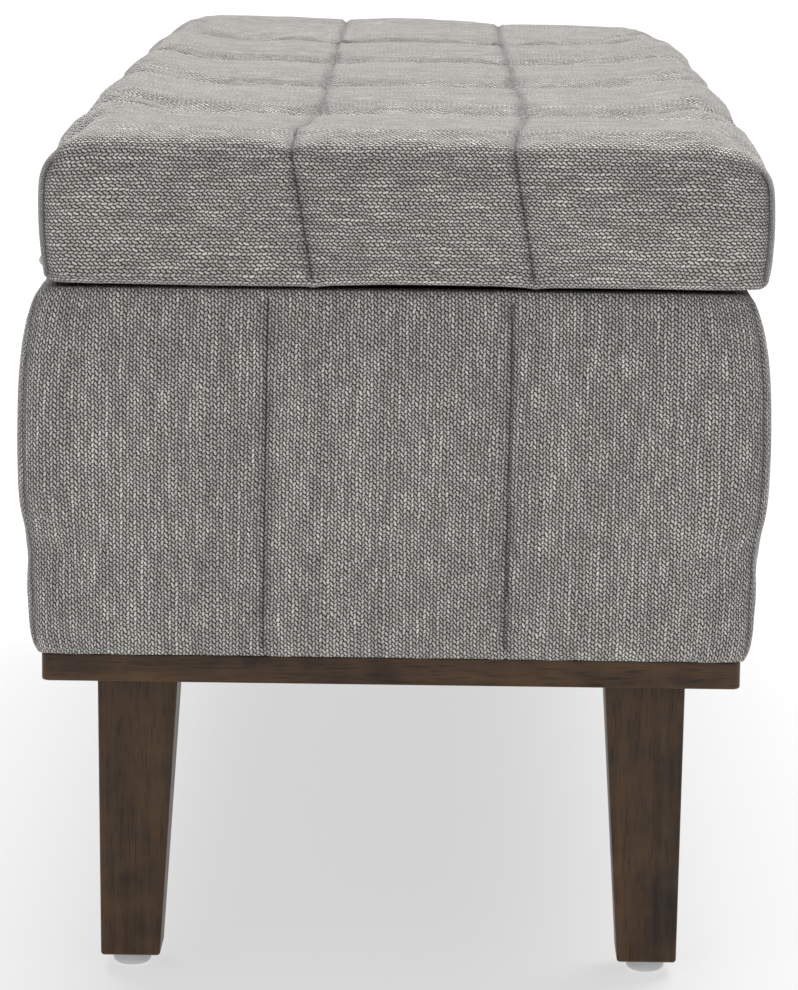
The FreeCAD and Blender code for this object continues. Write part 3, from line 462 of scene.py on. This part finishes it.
def lidPatches(shape, coarse, fine):
    # the lid's cloth as six grids: the top, four sides that run under to the hem, and the underside
    low, high = (np.array(c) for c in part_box("lid_cover"))
    centre = (low + high) / 2
    hx, hy = (high - low)[:2] / 2 + shape["ease"]
    radius, tight, cut = shape["shoulder"], shape["endShoulder"], shape["cut"]
    zone, hem = shape["zone"], shape["hem"]
    zTop, zBase = high[2] - 0.0006, low[2] + 0.0003
    zHub = zTop - radius
    rows = [hy * share for share in rowShares]
    xLines = gradedLines(-hx, hx, coarse, fine, 0.028, shape["seams"])
    yLines = gradedLines(-hy, hy, coarse * 1.15, fine * 1.1, 0.030, [*rows, -hy, hy])
    zMid = zHub + math.sqrt(radius**2 - (radius - cut) ** 2)
    endCut = tight - math.sqrt(tight**2 - (zMid - zTop + tight) ** 2)

    def inward(d, i):
        # inset of a grid line that lies d inside the edge, where the edge itself is inset by i
        return np.where(d < zone, i + (zone - i) * d / zone, d)

    def nearness(d):
        return np.clip(1 - d / zone, 0, 1)

    def cornerPull(i, a):
        # the upright corner pulled in along its diagonal, so that both walls reach it at 45 degrees
        pull = 0.293 * np.maximum(shape["corner"] - 0.35 * i, 0.003)
        return pull * a ** ((zone - i) / (2 * pull))

    def topHeight(ix, iy):
        # a quarter circle down to each edge, the two falls joined at the corners by a third-power sum
        sideFall = radius - np.sqrt(radius**2 - np.clip(radius - ix, 0, radius) ** 2)
        endFall = tight - np.sqrt(tight**2 - np.clip(tight - iy, 0, tight) ** 2)
        return zTop - (sideFall**3 + endFall**3) ** (1 / 3)

    def overEdge(i, bend):
        # cloth length from the flat top to inset i
        return np.where(i < bend, bend * np.arcsin(np.clip((bend - i) / bend, 0, 1)), bend - i)

    def slide(sx, ty, down):
        # the lengthwise seams' sideways wander, fading away from each seam
        near = np.min([np.abs(sx - seam) for seam in shape["seams"]], axis=0)
        drift = shape["endDrift"] * down * np.where(ty < 0, 1, -1)
        return (smoothCurve(shape["wander"], ty) + drift) * np.exp(-((near / 0.045) ** 2))

    x, y = np.meshgrid(xLines, yLines, indexing="ij")
    dx, dy = hx - np.abs(x), hy - np.abs(y)
    ix, iy = inward(dx, cut), inward(dy, endCut)
    pull = cornerPull(cut, nearness(dx) * nearness(dy))
    shifted = np.sign(x) * (hx - ix - pull) + slide(x, y, 0)
    fromRow = np.min([np.abs(y - row) for row in rows], axis=0)
    sunk = shape["swell"] * smoothStep(dx, 0.015, 0.075) * smoothStep(dy, 0.015, 0.10)
    sunk *= smoothStep(fromRow, 0, 0.045)
    top = np.stack([shifted, np.sign(y) * (hy - iy - pull), topHeight(ix, iy) - sunk], -1)
    clothX = np.where(dx < zone, np.sign(x) * (hx - radius + overEdge(ix, radius)), x)
    clothY = np.where(dy < zone, np.sign(y) * (hy - tight + overEdge(iy, tight)), y)
    inner = np.stack([x, y, np.full_like(x, 0.05)], -1)
    patches = [(top, np.stack([clothX, clothY], -1), inner, False)]

    # side walls: rows of (inset, height) from the shoulder down round the foot and under to the hem
    upper = np.linspace(zMid, zHub, 9)
    lower = np.linspace(zHub, zBase + shape["foot"], 13)[1:]
    lean = shape["tuckIn"] * ((zHub - lower) / (zHub - zBase)) ** 2
    turn = np.linspace(0, math.pi / 2, 6)[1:]
    under = np.linspace(lean[-1] + shape["foot"], hem, 5)[1:]
    foot = np.concatenate([lean, lean[-1] + shape["foot"] * (1 - np.cos(turn)), under, [hem]])
    sideInset = np.concatenate([radius - np.sqrt(radius**2 - (upper - zHub) ** 2), foot])
    endInset = np.concatenate([tight - np.sqrt(tight**2 - np.maximum(upper - zTop + tight, 0) ** 2), foot])
    footLevel = zBase + shape["foot"] * (1 - np.sin(turn))
    level = np.concatenate([upper, lower, footLevel, np.full(len(under), zBase), [zBase + 0.0018]])
    below = np.clip((zMid - level) / (zMid - zBase), 0, 1)
    visible = 1 - smoothStep(sideInset, lean[-1] + shape["foot"], hem * 0.9) * (level < zHub)

    def wall(lines, half, otherHalf, axis, sign):
        # one wall: lines along it, the rows down it. axis is the way the wall runs, sign its outward side
        d = half - np.abs(lines)
        a = nearness(d)
        atEnd = axis == "x"
        across, inset = (sideInset, endInset) if atEnd else (endInset, sideInset)
        lineIn = inward(d, cut if atEnd else endCut)
        cornerTop = topHeight(lineIn, endCut) if atEnd else topHeight(cut, lineIn)
        along = inward(d[:, None], across[None, :])
        pulled = cornerPull(sideInset[None, :], a[:, None])
        lineSide = np.sign(lines)[:, None] * (half - along - pulled)
        outSide = sign * (otherHalf - inset[None, :] - pulled)
        drop = (cornerTop - zHub) / (zMid - zHub)
        high = level[None, :] > zHub
        z = np.where(high, zHub + (level[None, :] - zHub) * drop[:, None], level[None, :] + 0 * d[:, None])
        bend, other = (radius, tight) if atEnd else (tight, radius)
        clothLine = np.where(d < zone, np.sign(lines) * (half - bend + overEdge(lineIn, bend)), lines)
        run = np.concatenate([[0], np.cumsum(np.hypot(np.diff(inset), np.diff(level)))])
        clothDown = sign * (otherHalf - other + overEdge(inset[0], other) + run)
        u, v = np.meshgrid(clothLine, clothDown, indexing="ij")
        line, edge = lines[:, None] + 0 * z, sign * otherHalf + 0 * z
        away = d[:, None] + 0 * z
        if atEnd:
            lineSide = lineSide + slide(line, edge, below[None, :]) * visible[None, :]
            parts = [(lineSide, outSide, z), (u, v), (line, edge, away)]
        else:
            parts = [(outSide, lineSide, z), (v, u), (edge, line, away)]
        return [np.stack(part, -1) for part in parts] + [(sign < 0) == atEnd]

    for sign in (-1, 1):
        patches.append(wall(xLines, hx, hy, "x", sign))
        patches.append(wall(yLines, hy, hx, "y", sign))
    edgeX = inward(hx - np.abs(xLines), hem)
    edgeY = inward(hy - np.abs(yLines), hem)
    bx, by = np.meshgrid(np.sign(xLines) * (hx - edgeX), np.sign(yLines) * (hy - edgeY), indexing="ij")
    pull = cornerPull(hem, nearness(hx - np.abs(xLines))[:, None] * nearness(hy - np.abs(yLines))[None, :])
    under = np.stack([bx - np.sign(bx) * pull, by - np.sign(by) * pull, np.full_like(bx, zBase + 0.0018)], -1)
    patches.append((under, np.stack([bx, by], -1), inner, True))
    for points, *_ in patches:
        points[..., :2] += centre[:2]
    count = np.arange(len(level))
    ways = [(xLines, yLines)] + [(xLines, count), (yLines, count)] * 2 + [(xLines, yLines)]
    return patches, ways, (centre, hx, hy, zTop, zHub, zMid, zBase, rows)


def lidGrooves(shape, points, normals, marks, size):
    # the wide dip along each seam and the extra pull at each tuft, pushed in along the cloth's normal
    _, hx, hy, zTop, zHub, zMid, zBase, rows = size
    dU = np.min([np.abs(marks[:, 0] - seam) for seam in shape["seams"]], axis=0)
    dV = np.min([np.abs(marks[:, 1] - row) for row in rows], axis=0)
    z, nz = points[:, 2], normals[:, 2]
    onTop = smoothStep(nz, 0.3, 0.85)
    shown = 1 - smoothStep(-nz, 0.2, 0.6)
    high = 0.2 + 0.8 * smoothStep(z, zHub - 0.012, zTop - 0.010)
    high *= 1 - 0.65 * smoothStep(np.abs(marks[:, 0]), hx - 0.10, hx - 0.03)
    reach = np.hypot(dU, dV)
    push = -shape["rowDepth"] * high * np.exp(-((dV / 0.024) ** 1.15))
    push -= shape["seamDepth"] * np.exp(-dU / 0.018)
    push -= shape["tuft"] * onTop * np.exp(-reach / 0.018)
    return np.maximum(push, -shape["deepest"] + 0.0016) * shown, dU, dV, onTop, shown


def lidCover(shape):
    patches, ways, size = lidPatches(shape, *shape["grid"])
    centre, hx, hy, zTop, zHub, zMid, zBase, rows = size
    # the swelling is worked out on a coarser copy and carried over to the fine grids
    rough, roughWays, _ = lidPatches(shape, *shape["roughGrid"])
    shell, marks, where = joinPatches("lid_rough", rough)
    points, normals = readPoints(shell)
    push, dU, dV, _, shown = lidGrooves(shape, points, normals, marks, size)
    writePoints(shell, points + normals * push[:, None])
    atEnd = np.abs(np.abs(marks[:, 1]) - hy) < 1e-6
    held = (atEnd & (dU < 0.003)) | (dV < 0.003) | (shown < 0.9)
    moved = swollen(shell, held, *shape["pressing"])
    # the walls, and the top close to each end, fill out less than the rest
    fromEnd = smoothStep(hy - np.abs(marks[:, 1]), 0.0, 0.070)
    moved *= ((0.35 + 0.65 * smoothStep(normals[:, 2], 0.1, 0.7)) * (0.45 + 0.55 * fromEnd))[:, None]
    carryOver(moved, where, rough, roughWays, patches, ways)
    bpy.data.objects.remove(shell)
    obj, marks, _ = joinPatches("lid_cushion", patches)

    points, normals = readPoints(obj)
    push, dU, dV, onTop, shown = lidGrooves(shape, points, normals, marks, size)
    x, y, z = (points - [centre[0], centre[1], 0]).T
    atSide = 1 - onTop
    down = np.clip((zMid - z) / (zMid - zBase), 0, 1)
    sidePart = smoothStep(np.abs(x), hx - 0.03, hx - 0.012)
    endPart = smoothStep(np.abs(y), hy - 0.03, hy - 0.012)
    pucker = 1 + 0.4 * softNoise(x * 70, y * 70 + z * 50, 11)
    # the stitched creases themselves, with the cloth a little raised beside them
    line = np.exp(-((dU / 0.0015) ** 2)) - 0.45 * np.exp(-(((dU - 0.0036) / 0.0016) ** 2))
    crossLine = np.exp(-((dV / 0.0016) ** 2)) - 0.25 * np.exp(-(((dV - 0.0038) / 0.0018) ** 2))
    push -= shape["crease"] * pucker * (line + crossLine * (1 - 0.6 * down))
    push -= shape["crease"] * np.exp(-((np.hypot(dU, dV) / 0.005) ** 2)) * onTop
    push = np.maximum(push, -shape["deepest"])
    # tension lines run from the tufts to the long sides; slack cloth ripples a little everywhere
    strain = np.exp(-dV / 0.040) * smoothStep(np.abs(x), 0.05, 0.12) * (1 - 0.85 * smoothStep(-y, 0.32, 0.42))
    ripple = softNoise(x * 6, (y + 0.005 * softNoise(x * 16, y * 16, 33)) * 72, 35)
    strain *= (1 - 0.85 * endPart) * (1 - 0.75 * sidePart) * (1 - 0.7 * down)
    push += shape["wrinkle"] * strain * ripple
    push += onTop * 0.0011 * np.exp(-np.hypot(dU, dV) / 0.024) * softNoise(x * 48, y * 48, 39)
    push += atSide * 0.0009 * softNoise(x * 11, y * 11 + z * 13, 21)
    push += onTop * 0.0006 * softNoise(x * 22, y * 16, 27)
    push += atSide * 0.0005 * np.exp(-np.minimum(dU, dV) / 0.008) * softNoise(x * 90 + y * 90, z * 160, 41)
    push -= atSide * 0.0009 * np.exp(-marks[:, 2] / 0.0016)
    points = points + normals * (push * shown)[:, None]
    # the filling is a little fuller along the back edge and thinner towards the far front corner
    rise = np.clip((z - zBase) / (zTop - zBase), 0, 1)
    points[:, 2] += 0.0030 * rise**2 * np.exp(-(((x + hx - 0.012) / 0.022) ** 2))
    points[:, 2] -= 0.0055 * rise * smoothStep(x, -0.05, 0.18) * smoothStep(y, 0.20, 0.52)
    # and the four top corners are softer than the edges between them
    soft = smoothStep(np.abs(x), hx - 0.045, hx - 0.006) * smoothStep(np.abs(y), hy - 0.17, hy - 0.04)
    soft *= rise**2
    points[:, 2] -= 0.0050 * soft
    points[:, 0] -= 0.0035 * soft * np.sign(x)
    # the foot of the cover hangs a little unevenly over the box
    outer = np.maximum(smoothStep(np.abs(y), hy - 0.026, hy - 0.016), smoothStep(x, hx - 0.026, hx - 0.016))
    foot = (1 - smoothStep(z, zBase + 0.003, zBase + 0.028)) * outer
    hang = 0.0015 * softNoise(x * 12 + 5, y * 12, 45) - 0.0011 - 0.0010 * np.exp(-dU / 0.006)
    points[:, 2] += foot * hang
    # the painted crease shadow along the lengthwise seams shows less on the top, between the tufts
    faint = 0.0006 * (1 - smoothStep(np.abs(marks[:, 1]), hy - 0.07, hy - 0.03)) * smoothStep(dV, 0.004, 0.03)
    seam = np.minimum(np.minimum(dU + faint, dV + 0.0001), marks[:, 2])
    keepValue(obj, "seam", seam + (1 - shown) * 0.05)
    writePoints(obj, points)
    return obj


lidCushion = lidCover(lidShape)
lidCushion.data.materials.append(fabricMaterial("lid_cloth", "u"))
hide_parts("lid_cover", "lid_foam")
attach(lidCushion, "lid")
print("lid made", len(lidCushion.data.polygons), "faces")

boxShape = {
    "grid": (0.0062, 0.0011),  # widest and finest spacing of the cover's lines
    "roughGrid": (0.0110, 0.0090),  # the same on the copy that the cloth is worked out on
    "pressing": (1.5, 0.008, 0.0022),  # inside pressure, share the cloth may grow, furthest it may move
    "ease": (0.0008, 0.0004),  # how far the cloth's grid stands out past the cover's box, across and along
    "cloth": 0.0011,  # thickness of the cloth
    "zone": 0.045,  # width of the strip along each upright corner that rounds over
    "corner": 0.009,  # radius of the upright corners in plan
    "turnDown": 0.014,  # how far the cloth runs down inside the rim
    "fold": 0.040,  # how far it runs in under the box
    "endSeams": (-0.0705, 0.0645),
    "seamLean": 0.0020,  # how far each end seam leans sideways over its height
    # the bulge of the long walls: height as a share of the wall, and inset from the widest place
    "bulge": (
        (0, 0.0090), (0.03, 0.0070), (0.16, 0.0052), (0.31, 0.0040), (0.41, 0.0012), (0.53, 0.0001),
        (0.66, 0.0002), (0.76, 0.0010), (0.86, 0.0030), (0.93, 0.0056), (0.975, 0.0082), (1, 0.0118),
    ),
    "endShare": 0.62,  # how much of that bulge the end walls have
}


def boxPatches(shape, coarse, fine):
    # four grids round the box: in under it, up the bulged wall, over the rim and down inside
    low, high = (np.array(c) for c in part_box("box_cover"))
    centre = (low + high) / 2
    hx, hy = (high - low)[:2] / 2 + shape["ease"]
    zone = shape["zone"]
    zLow, zHigh = low[2] + 0.0004, high[2] - 0.0001
    rows = [hy * share for share in rowShares]
    xLines = gradedLines(-hx, hx, coarse, fine, 0.024, [*shape["endSeams"], -hx, hx])
    yLines = gradedLines(-hy, hy, coarse * 1.3, fine * 1.1, 0.024, [*rows, -hy, hy])
    share = np.linspace(0, 1, 46)
    bulge = smoothCurve(shape["bulge"], share)
    # over the rim the cloth runs in to the boards' inner faces, where the lining hangs in front of it
    liningLow, liningHigh = (np.array(c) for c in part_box("wall_lining"))
    rimX, rimY = (hx, hy) - (liningHigh - liningLow)[:2] / 2 - 0.0002
    overRim = np.array([0.65, 0.87, 1, 1, 1])
    wide = np.concatenate([[shape["fold"], 0.028, 0.019], bulge, rimX * overRim])
    narrow = np.concatenate([[shape["fold"], 0.028, 0.019], bulge * shape["endShare"], rimY * overRim])
    z = np.concatenate(
        [[zLow] * 3, zLow + (zHigh - zLow) * share, [zHigh] * 3, [zHigh - 0.002, zHigh - shape["turnDown"]]]
    )

    def wall(lines, half, otherHalf, axis, sign):
        outIn, sideIn = (wide, narrow) if axis == "y" else (narrow, wide)
        length = np.concatenate([[0], np.cumsum(np.hypot(np.diff(outIn), np.diff(z)))])
        d = half - np.abs(lines)
        a = np.clip(1 - d / zone, 0, 1)[:, None]
        squeezed = sideIn[None, :] + (zone - sideIn[None, :]) * d[:, None] / zone
        along = np.where(d[:, None] < zone, squeezed, d[:, None])
        pull = 0.293 * np.maximum(shape["corner"] - 0.2 * np.minimum(wide, 0.02), 0.004)[None, :]
        pulled = pull * a ** ((zone - sideIn[None, :]) / (2 * pull))
        lineSide = np.sign(lines)[:, None] * (half - along - pulled)
        outSide = sign * (otherHalf - outIn[None, :] - pulled) + 0 * d[:, None]
        zz = z[None, :] + 0 * d[:, None]
        u, v = np.meshgrid(lines + 3.0 * (axis == "y") + 1.5 * sign, length, indexing="ij")
        line, edge, away = lines[:, None] + 0 * zz, sign * otherHalf + 0 * zz, d[:, None] + 0 * zz
        if axis == "x":
            parts = [(lineSide, outSide, zz), (u, v), (line, edge, away)]
        else:
            parts = [(outSide, lineSide, zz), (u, v), (edge, line, away)]
        return [np.stack(part, -1) for part in parts] + [(sign > 0) == (axis == "x")]

    patches = [wall(xLines, hx, hy, "x", sign) for sign in (-1, 1)]
    patches += [wall(yLines, hy, hx, "y", sign) for sign in (-1, 1)]
    for points, *_ in patches:
        points[..., :2] += centre[:2]
    count = np.arange(len(z))
    ways = [(xLines, count), (xLines, count), (yLines, count), (yLines, count)]
    return patches, ways, (centre, hx, hy, zLow, zHigh, rows)


def boxCover(shape):
    patches, ways, size = boxPatches(shape, *shape["grid"])
    centre, hx, hy, zLow, zHigh, rows = size
    rough, roughWays, _ = boxPatches(shape, *shape["roughGrid"])
    shell, marks, where = joinPatches("box_rough", rough)
    points, normals = readPoints(shell)
    x, y, z = (points - [centre[0], centre[1], 0]).T
    wallPart = smoothStep(np.maximum(np.abs(x) - hx, np.abs(y) - hy), -0.018, -0.014)
    held = (wallPart < 0.9) | (z < zLow + 0.004) | (z > zHigh - 0.003) | (marks[:, 2] < 0.003)
    moved = swollen(shell, held, *shape["pressing"])
    carryOver(moved, where, rough, roughWays, patches, ways)
    bpy.data.objects.remove(shell)
    obj, marks, _ = joinPatches("box_upholstery", patches)

    points, normals = readPoints(obj)
    x, y, z = (points - [centre[0], centre[1], 0]).T
    # up is the share of the wall's height, onEnd and onSide say which kind of wall a point is on
    up = (z - zLow) / (zHigh - zLow)
    flat = smoothStep(np.abs(normals[:, 2]), 0.5, 0.9)
    wallPart = (1 - flat) * smoothStep(np.maximum(np.abs(x) - hx, np.abs(y) - hy), -0.024, -0.018)
    onEnd = (np.abs(np.abs(marks[:, 1]) - hy) < 1e-6) * wallPart
    onSide = (np.abs(np.abs(marks[:, 0]) - hx) < 1e-6) * wallPart
    dU = np.min([np.abs(marks[:, 0] - seam) for seam in shape["endSeams"]], axis=0)
    dV = np.min([np.abs(marks[:, 1] - row) for row in rows], axis=0)
    points[:, 0] += shape["seamLean"] * (up - 0.5) * np.exp(-((dU / 0.03) ** 2)) * onEnd
    # seams and upright corners pull in, and the cloth between them is gently uneven
    pucker = 1 + 0.4 * softNoise(x * 60 + y * 60, z * 60, 51)
    push = np.zeros(len(x))
    for part, d in ((onEnd, dU), (onSide, dV)):
        groove = 0.0011 * np.exp(-((d / 0.0013) ** 2)) - 0.0003 * np.exp(-(((d - 0.0032) / 0.0015) ** 2))
        push -= part * pucker * (groove + 0.0008 * np.exp(-d / 0.012))
    push -= 0.0008 * wallPart * np.exp(-marks[:, 2] / 0.0015)
    push += wallPart * 0.0010 * softNoise(x * 9 + 3, y * 7 + z * 12, 61)
    push += wallPart * 0.0009 * np.exp(-up / 0.10) * softNoise(x * 30, y * 30, 65)
    push += wallPart * 0.0006 * np.exp(-(1 - up) / 0.08) * softNoise(x * 34, y * 34, 67)
    # the pleat that slants away from the foot of the left end seam
    dent = np.abs((x + 0.071) * 0.72 + (z - zLow) * 0.69 - 0.001)
    near = np.exp(-(((x + 0.086) / 0.014) ** 2) - (((z - zLow - 0.010) / 0.012) ** 2)) * (y < 0)
    push -= onEnd * near * 0.0013 * np.exp(-((dent / 0.0028) ** 2))
    points = points + normals * push[:, None]
    # below, the cloth sags unevenly past the top of the rail
    points[:, 2] -= wallPart * np.exp(-up / 0.03) * (0.0012 + 0.0010 * softNoise(x * 16, y * 16, 69))
    seam = np.minimum(np.where(onEnd > 0.5, dU, np.where(onSide > 0.5, dV, 0.05)), marks[:, 2] + 0.0002)
    keepValue(obj, "seam", seam + (1 - wallPart) * 0.05)
    writePoints(obj, points)
    shell = obj.modifiers.new("thickness", "SOLIDIFY")
    shell.thickness = shape["cloth"]
    shell.offset = -1
    return obj


boxUpholstery = boxCover(boxShape)
boxUpholstery.data.materials.append(fabricMaterial("box_cloth", "v"))
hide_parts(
    "box_cover", "front_padding", "back_padding", "left_end_padding", "right_end_padding"
)
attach(boxUpholstery, "box")
print("box made", len(boxUpholstery.data.polygons), "faces")


def flatCloth(name, node, body, puff, seed):
    # a stretched sheet on the node's own place: a waved grid, with Solidify for its thickness
    low, high = (np.array(c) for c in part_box(node))
    xs = np.linspace(low[0], high[0], 60)
    ys = np.linspace(low[1], high[1], 160)
    x, y = np.meshgrid(xs, ys, indexing="ij")
    edge = np.minimum(np.minimum(x - low[0], high[0] - x), np.minimum(y - low[1], high[1] - y))
    wave = puff * smoothStep(edge, 0.0, 0.04) * softNoise(x * 14, y * 9, seed)
    z = np.full_like(x, (low[2] + high[2]) / 2 + 0.0003) + wave
    cloth = np.stack([x, y], -1)
    obj, _, _ = joinPatches(name, [(np.stack([x, y, z], -1), cloth, cloth, False)])
    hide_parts(node)
    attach(obj, body)
    return obj


def wallLining():
    # a loop of cloth down the four inner walls: rounded in the corners, gently rippled
    low, high = (np.array(c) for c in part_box("wall_lining"))
    centre = (low + high) / 2
    hx, hy = (high - low)[:2] / 2 - 0.0006
    radius = 0.006
    sides = []
    for k, (cx, cy) in enumerate(((1, 1), (-1, 1), (-1, -1), (1, -1))):
        turn = np.linspace(k * math.pi / 2, (k + 1) * math.pi / 2, 7)
        cornerX = cx * (hx - radius) + radius * np.cos(turn)
        cornerY = cy * (hy - radius) + radius * np.sin(turn)
        sides.append(np.stack([cornerX, cornerY], -1))
    loop = np.concatenate(sides + [sides[0][:1]])
    step = np.concatenate([[0], np.cumsum(np.hypot(*np.diff(loop, axis=0).T))])
    at = np.unique(np.concatenate([np.linspace(0, step[-1], 380), step]))
    x, y = np.interp(at, step, loop[:, 0]), np.interp(at, step, loop[:, 1])
    zs = np.linspace(low[2] + 0.0002, high[2] - 0.0002, 22)
    inX, inY = -x / np.maximum(np.abs(x), 1e-9), -y / np.maximum(np.abs(y), 1e-9)
    onX = (np.abs(np.abs(x) - hx) < 1e-4)[:, None]
    wave = 0.0003 * softNoise(at[:, None] * 14, zs[None, :] * 20, 81)
    px = x[:, None] + np.where(onX, inX[:, None] * (wave + 0.0003), 0)
    py = y[:, None] + np.where(onX, 0, inY[:, None] * (wave + 0.0003))
    pz = zs[None, :] + 0 * x[:, None]
    points = np.stack([px + centre[0], py + centre[1], pz], -1)
    cloth = np.stack(np.meshgrid(at, zs, indexing="ij"), -1)
    obj, _, _ = joinPatches("lining_walls", [(points, cloth, cloth, True)])
    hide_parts("wall_lining")
    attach(obj, "box")
    return obj


def liningMaterial():
    # black spun cloth: matted fibres with a faint grid of pressed dots
    material, tree, surface = newMaterial("lining_cloth")
    cloth = addNode(tree, "ShaderNodeUVMap", uv_map="cloth")
    fibres = noiseAt(tree, cloth.outputs[0], 900.0, 4.0)[0]
    dotRules = {"Vector": cloth.outputs[0], "Scale": 420.0, "Randomness": 0.1}
    dots = addNode(tree, "ShaderNodeTexVoronoi", dotRules)
    color = mixColor(tree, fibres, (0.012, 0.012, 0.013, 1), (0.055, 0.055, 0.058, 1))
    tree.links.new(color, surface.inputs["Base Color"])
    surface.inputs["Roughness"].default_value = 0.95
    surface.inputs["Sheen Weight"].default_value = 0.2
    reliefOn(tree, surface, remap(tree, dots.outputs["Distance"], 0.2, 0.4), 0.5, 0.0002)
    return material


liningCloth = liningMaterial()
linings = [
    flatCloth("lining_floor", "floor_lining", "box", 0.0004, 71),
    flatCloth("dust_sheet_box", "bottom_dust_cover", "box", 0.0002, 73),
    flatCloth("dust_sheet_lid", "lid_dust_cover", "lid", 0.0002, 75),
    wallLining(),
]
for piece in linings:
    piece.data.materials.append(liningCloth)
    skin = piece.modifiers.new("thickness", "SOLIDIFY")
    skin.thickness = 0.0006
    skin.offset = 0
print("linings made")

finishes = {
    "plywood": plainMaterial("sanded_ply", (0.55, 0.40, 0.24), 0.65, grain=90.0),
    "glide_plastic": plainMaterial("white_nylon", (0.62, 0.64, 0.66), 0.4, grain=300.0, spread=0.05),
    "zinc_steel": plainMaterial("zinc_plate", (0.60, 0.60, 0.58), 0.38, 1.0),
    "hinge_steel": plainMaterial("nickel_plate", (0.52, 0.50, 0.47), 0.32, 1.0),
    "stay_steel": plainMaterial("stay_plate", (0.56, 0.56, 0.55), 0.34, 1.0),
    "twine": plainMaterial("waxed_twine", (0.28, 0.27, 0.25), 0.8, grain=2500.0, depth=0.0002),
    "washer_plastic": plainMaterial("black_nylon", (0.03, 0.03, 0.03), 0.5),
    "rubber": plainMaterial("soft_rubber", (0.03, 0.03, 0.03), 0.8),
    "foam": plainMaterial("cushion_foam", (0.72, 0.66, 0.45), 0.95, grain=700.0, depth=0.0006),
}
slotOf = {entry["node"]: entry["material_slot"] for entry in frame["record"]["subparts"]}
grainOf = {"left_end_rail": "x", "right_end_rail": "x", "front_rail": "y", "back_rail": "y"}
for number, (name, obj) in enumerate(sorted(frame["nodes"].items())):
    if slotOf[name] == "walnut_wood":
        material = woodMaterial(f"walnut_{name}", grainOf.get(name, "z"), 0.37 * number)
    elif slotOf[name] in finishes:
        material = finishes[slotOf[name]]
    else:
        continue
    obj.data.materials.clear()
    obj.data.materials.append(material)
print("finishes set")

view = {
    "place": (0.0266, -2.742, 0.6746),
    "pitchDown": 10.085,
    "yawLeft": 0.62,
    "roll": 0.63,
    "lens": 145.6,
}
cameraData = bpy.data.cameras.new("camera")
cameraData.lens = view["lens"]
cameraData.sensor_width = 36
camera = bpy.data.objects.new("camera", cameraData)
bpy.context.scene.collection.objects.link(camera)
camera.location = view["place"]
camera.rotation_mode = "XYZ"
camera.rotation_euler = (math.radians(90 - view["pitchDown"]), 0, math.radians(view["yawLeft"]))
camera.rotation_euler.rotate_axis("Z", math.radians(view["roll"]))
bpy.context.scene.camera = camera


# each light's place, the point it faces, its strength and its spread in degrees
lights = {
    "key": ((0.3, 1.6, 2.7), (0, 0, 0.3), 4.3, 60),
    "fill": ((-1.2, -3.0, 1.6), (0, -0.5, 0.3), 0.25, 60),
}
for name, (place, aim, strength, spread) in lights.items():
    data = bpy.data.lights.new(name, "SUN")
    data.energy = strength
    data.angle = math.radians(spread)
    lamp = bpy.data.objects.new(name, data)
    bpy.context.scene.collection.objects.link(lamp)
    lamp.location = place
    lamp.rotation_euler = (Vector(aim) - Vector(place)).to_track_quat("-Z", "Y").to_euler()

world = bpy.data.worlds.new("studio")
world.use_nodes = True
world.node_tree.nodes["Background"].inputs[0].default_value = (1.0, 1.0, 1.0, 1)
world.node_tree.nodes["Background"].inputs[1].default_value = 0.42
bpy.context.scene.world = world
bpy.context.scene.view_settings.view_transform = "Standard"

floorMesh = bpy.data.meshes.new("floor")
reach = 30.0
floorMesh.from_pydata(
    [(-reach, -reach, 0), (reach, -reach, 0), (reach, reach, 0), (-reach, reach, 0)], [], [(0, 1, 2, 3)]
)
floor = bpy.data.objects.new("floor", floorMesh)
bpy.context.scene.collection.objects.link(floor)
floorMaterial, _, floorSurface = newMaterial("studio_floor")
floorSurface.inputs["Base Color"].default_value = (0.27, 0.27, 0.27, 1)
floorSurface.inputs["Roughness"].default_value = 0.9
floorSurface.inputs["Emission Color"].default_value = (1, 1, 1, 1)
floorSurface.inputs["Emission Strength"].default_value = 0.60
floorMesh.materials.append(floorMaterial)
